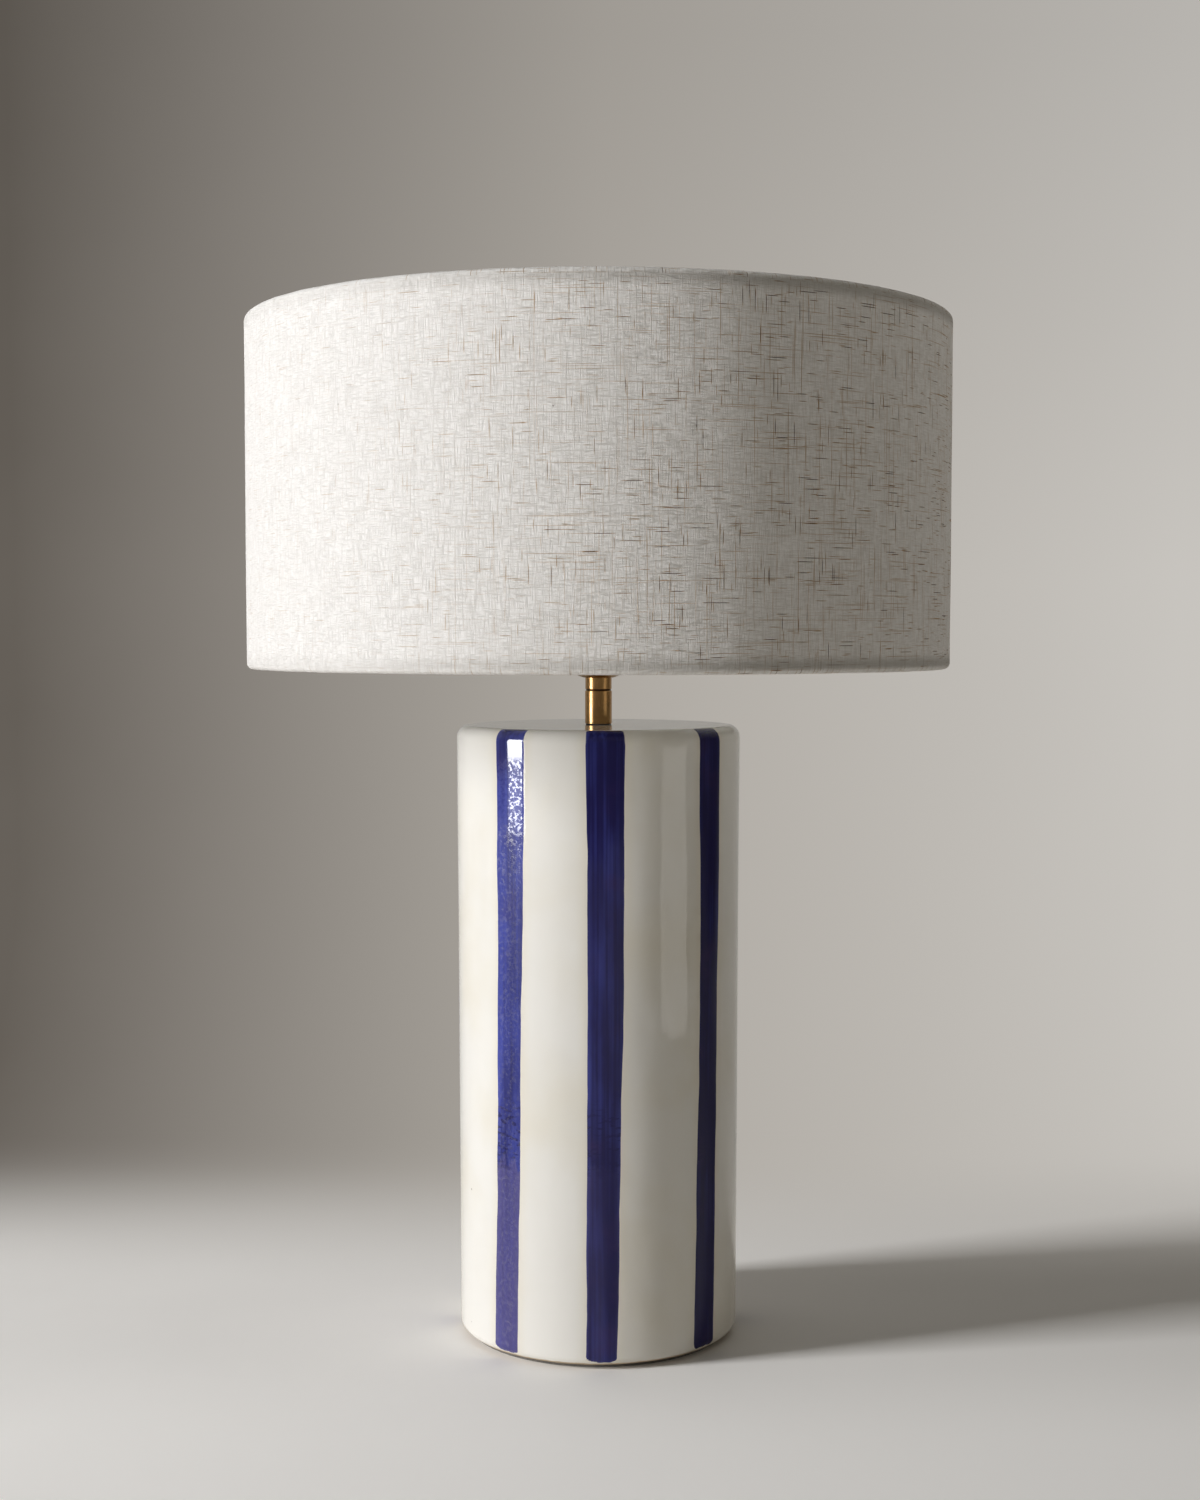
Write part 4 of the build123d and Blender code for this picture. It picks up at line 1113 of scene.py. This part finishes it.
sweep = straight((FLOOR_FRONT, 0.0), (SWEEP_START, 0.0), 8)
sweep += arc(SWEEP_START, SWEEP_RADIUS, SWEEP_RADIUS, -90, 0, 24)[1:]
sweep += [(SWEEP_START + SWEEP_RADIUS, WALL_HEIGHT)]
stage_verts = [(side * FLOOR_HALF_WIDTH, y, z) for y, z in sweep for side in (-1, 1)]
stage_faces = [(2 * i, 2 * i + 1, 2 * i + 3, 2 * i + 2) for i in range(len(sweep) - 1)]
floor = mesh_piece("floor", stage_verts, stage_faces)
if floor.data.polygons[0].normal.z < 0:
    floor.data.flip_normals()

paper, tree, principled = shader("paper")
place = here(tree)
axes = tree.nodes.new("ShaderNodeSeparateXYZ")
fill(tree, axes, {0: place})
across, back, up = (axes.outputs[axis] for axis in "XYZ")
mottle = add(tree, "TexNoise", {"Vector": place, "Scale": 5.0, "Detail": 4.0})


def along_wall(value, low, high, to_low=0.0, to_high=1.0):
    """A value carried evenly from one range to another."""
    plugs = {"Value": value, "From Min": low, "From Max": high, "To Min": to_low, "To Max": to_high}
    return add(tree, "MapRange", plugs)


# Painted light: the floor's colour runs from bright on the left to darker on the right, a painted
# fall-off of the light from the left.
floor_colour = mixed(tree, along_wall(across, -WALL_SPAN, WALL_SPAN), FLOOR_LEFT, FLOOR_RIGHT)
floor_colour = mixed(tree, spread(tree, mottle, 0.3, 0.7, 0.0, FLOOR_MOTTLE), floor_colour, FLOOR_GREY)
aside = calc(tree, "ABSOLUTE", across)
floor_colour = mixed(tree, spread(tree, aside, *FLOOR_FADE), floor_colour, FLOOR_FAR)
# Painted light: the wall's glow is dark on the left and brighter on the right.
left_half = mixed(tree, along_wall(across, -WALL_SPAN, 0.0), WALL_LEFT, WALL_MIDDLE)
wall_colour = mixed(tree, along_wall(across, 0.0, WALL_SPAN), left_half, WALL_RIGHT)
wall_colour = mixed(tree, spread(tree, mottle, 0.2, 0.8, 0.0, WALL_MOTTLE), wall_colour, WALL_MIDDLE)
# Painted shade: the wall's glow dims towards the top.
dimmed = along_wall(up, *WALL_DIMS, 1.0, WALL_DIMMED)
unseen = mixed(tree, spread(tree, aside, *UNSEEN_FADE), UNSEEN_NEAR, UNSEEN_FAR)
watched = add(tree, "LightPath", {}, output="Is Camera Ray")
# Painted light: the front of the floor glows a little for the camera, a painted pool of light.
front_glow = spread(tree, back, *FRONT_GLOW, 0.0, FRONT_GLOW_STRENGTH)
front_glow = calc(tree, "MULTIPLY", front_glow, watched)
fill(
    tree,
    principled,
    {
        "Base Color": mixed(tree, watched, FLOOR_UNSEEN, floor_colour),
        "Roughness": PAPER_ROUGH,
        "Specular IOR Level": PAPER_SHINE,
        "Emission Color": FLOOR_GREY,
        "Emission Strength": front_glow,
    },
)
glow = mixed(tree, watched, unseen, wall_colour)
wall_glow = add(tree, "Emission", {"Color": glow, "Strength": dimmed})
rising = spread(tree, back, *WALL_STARTS)
standing = add(tree, "MixShader", {0: rising, 1: principled.outputs[0], 2: wall_glow})
clear = add(tree, "BsdfTransparent", {})
behind = add(tree, "NewGeometry", {}, output="Backfacing")
seen = add(tree, "MixShader", {0: behind, 1: standing, 2: clear})
tree.links.new(seen, tree.nodes["Material Output"].inputs["Surface"])
floor.data.materials.append(paper)

# Light: a tall soft box far to the left, in a dim warm room with a dark ceiling. The lamp, its glaze
# and the floor each have a share of it, because the photograph's shading and shadow don't quite
# agree. Panels that show only as reflections, or only light the cloth, finish the edges.
WHITE_LIGHT = (0.995, 1.0, 1.01)
WARM_LIGHT = (1.0, 0.96, 0.90)
ROOM_HORIZON = (0.150, 0.140, 0.116, 1)
ROOM_CEILING = (0.070, 0.065, 0.054, 1)
ROOM_DARKENS = (0.0, 0.75)
SOFT_BOX_DISTANCE = 5.00
SOFT_BOX_HEIGHT = 1.85
SOFT_BOX = (0.80, 3.20)
FLOOR_BOX = (1.00, 3.20)


def panel(name, azimuth, distance, height, size, power, colour, reflected=False):
    """Soft box at an azimuth from the front, facing the lamp. It lights surfaces, or is only seen
    reflected in them."""
    lamp = bpy.data.lights.new(name, "AREA")
    lamp.shape = "RECTANGLE"
    lamp.size, lamp.size_y = size
    lamp.energy = power
    lamp.color = colour
    holder = bpy.data.objects.new(name, lamp)
    turn = radians(azimuth)
    holder.location = (distance * sin(turn), -distance * cos(turn), height)
    facing = Vector((-holder.location.x, -holder.location.y, 0.0))
    holder.rotation_euler = facing.to_track_quat("-Z", "Y").to_euler()
    holder.visible_camera = False
    holder.visible_glossy = reflected
    holder.visible_diffuse = not reflected
    bpy.context.scene.collection.objects.link(holder)
    return holder


def soft_box(name, azimuth, size, power):
    """One share of the tall soft box on the left."""
    return panel(name, azimuth, SOFT_BOX_DISTANCE, SOFT_BOX_HEIGHT, size, power, WHITE_LIGHT)


def reaches(light, piece, state):
    """Keeps a light to one piece, or off that piece alone."""
    group = bpy.data.collections.new(light.name + "_reach")
    group.objects.link(piece)
    group.collection_objects[0].light_linking.link_state = state
    light.light_linking.receiver_collection = group


key = soft_box("key", azimuth=-65.5, size=SOFT_BOX, power=277.0)
reaches(key, floor, "EXCLUDE")
glaze_key = soft_box("glaze_key", azimuth=-70.0, size=SOFT_BOX, power=16.0)
reaches(glaze_key, body, "INCLUDE")
floor_key = soft_box("floor_key", azimuth=-74.5, size=FLOOR_BOX, power=385.0)
reaches(floor_key, floor, "INCLUDE")
window = panel(
    "window",
    azimuth=-67.0,
    distance=1.90,
    height=0.85,
    size=(0.56, 1.50),
    power=36.0,
    colour=WHITE_LIGHT,
    reflected=True,
)
reaches(window, floor, "EXCLUDE")
side = panel(
    "side",
    azimuth=61.0,
    distance=1.00,
    height=0.145,
    size=(0.40, 0.29),
    power=0.75,
    colour=WARM_LIGHT,
    reflected=True,
)
reaches(side, floor, "EXCLUDE")
edge_light = panel(
    "edge",
    azimuth=88.0,
    distance=0.90,
    height=1.00,
    size=(0.40, 0.40),
    power=1.05,
    colour=WARM_LIGHT,
)
reaches(edge_light, linen, "INCLUDE")
card = panel(
    "card",
    azimuth=-20.0,
    distance=0.40,
    height=0.48,
    size=(0.04, 0.60),
    power=0.073,
    colour=WHITE_LIGHT,
)
reaches(card, linen, "INCLUDE")
room = bpy.data.worlds.new("room")
room.use_nodes = True
tree = room.node_tree
upward = add(tree, "SeparateXYZ", {0: add(tree, "TexCoord", {}, output="Generated")}, output="Z")
glow = mixed(tree, spread(tree, upward, *ROOM_DARKENS), ROOM_HORIZON, ROOM_CEILING)
fill(tree, tree.nodes["Background"], {"Color": glow})
bpy.context.scene.world = room

# Camera: a little above the neck and tipped slightly down, with a normal lens and everything in
# focus, as the photograph was taken.
CAMERA_PLACE = (0.0009, -1.2309, 0.4071)
CAMERA_TILT = -3.254
LENS = 51.19
camera_data = bpy.data.cameras.new("camera")
camera_data.lens = LENS
camera_data.dof.use_dof = False
camera = bpy.data.objects.new("camera", camera_data)
camera.location = CAMERA_PLACE
camera.rotation_euler = (radians(90 + CAMERA_TILT), 0, 0)
bpy.context.scene.collection.objects.link(camera)
bpy.context.scene.camera = camera
bpy.context.scene.view_settings.view_transform = "Standard"
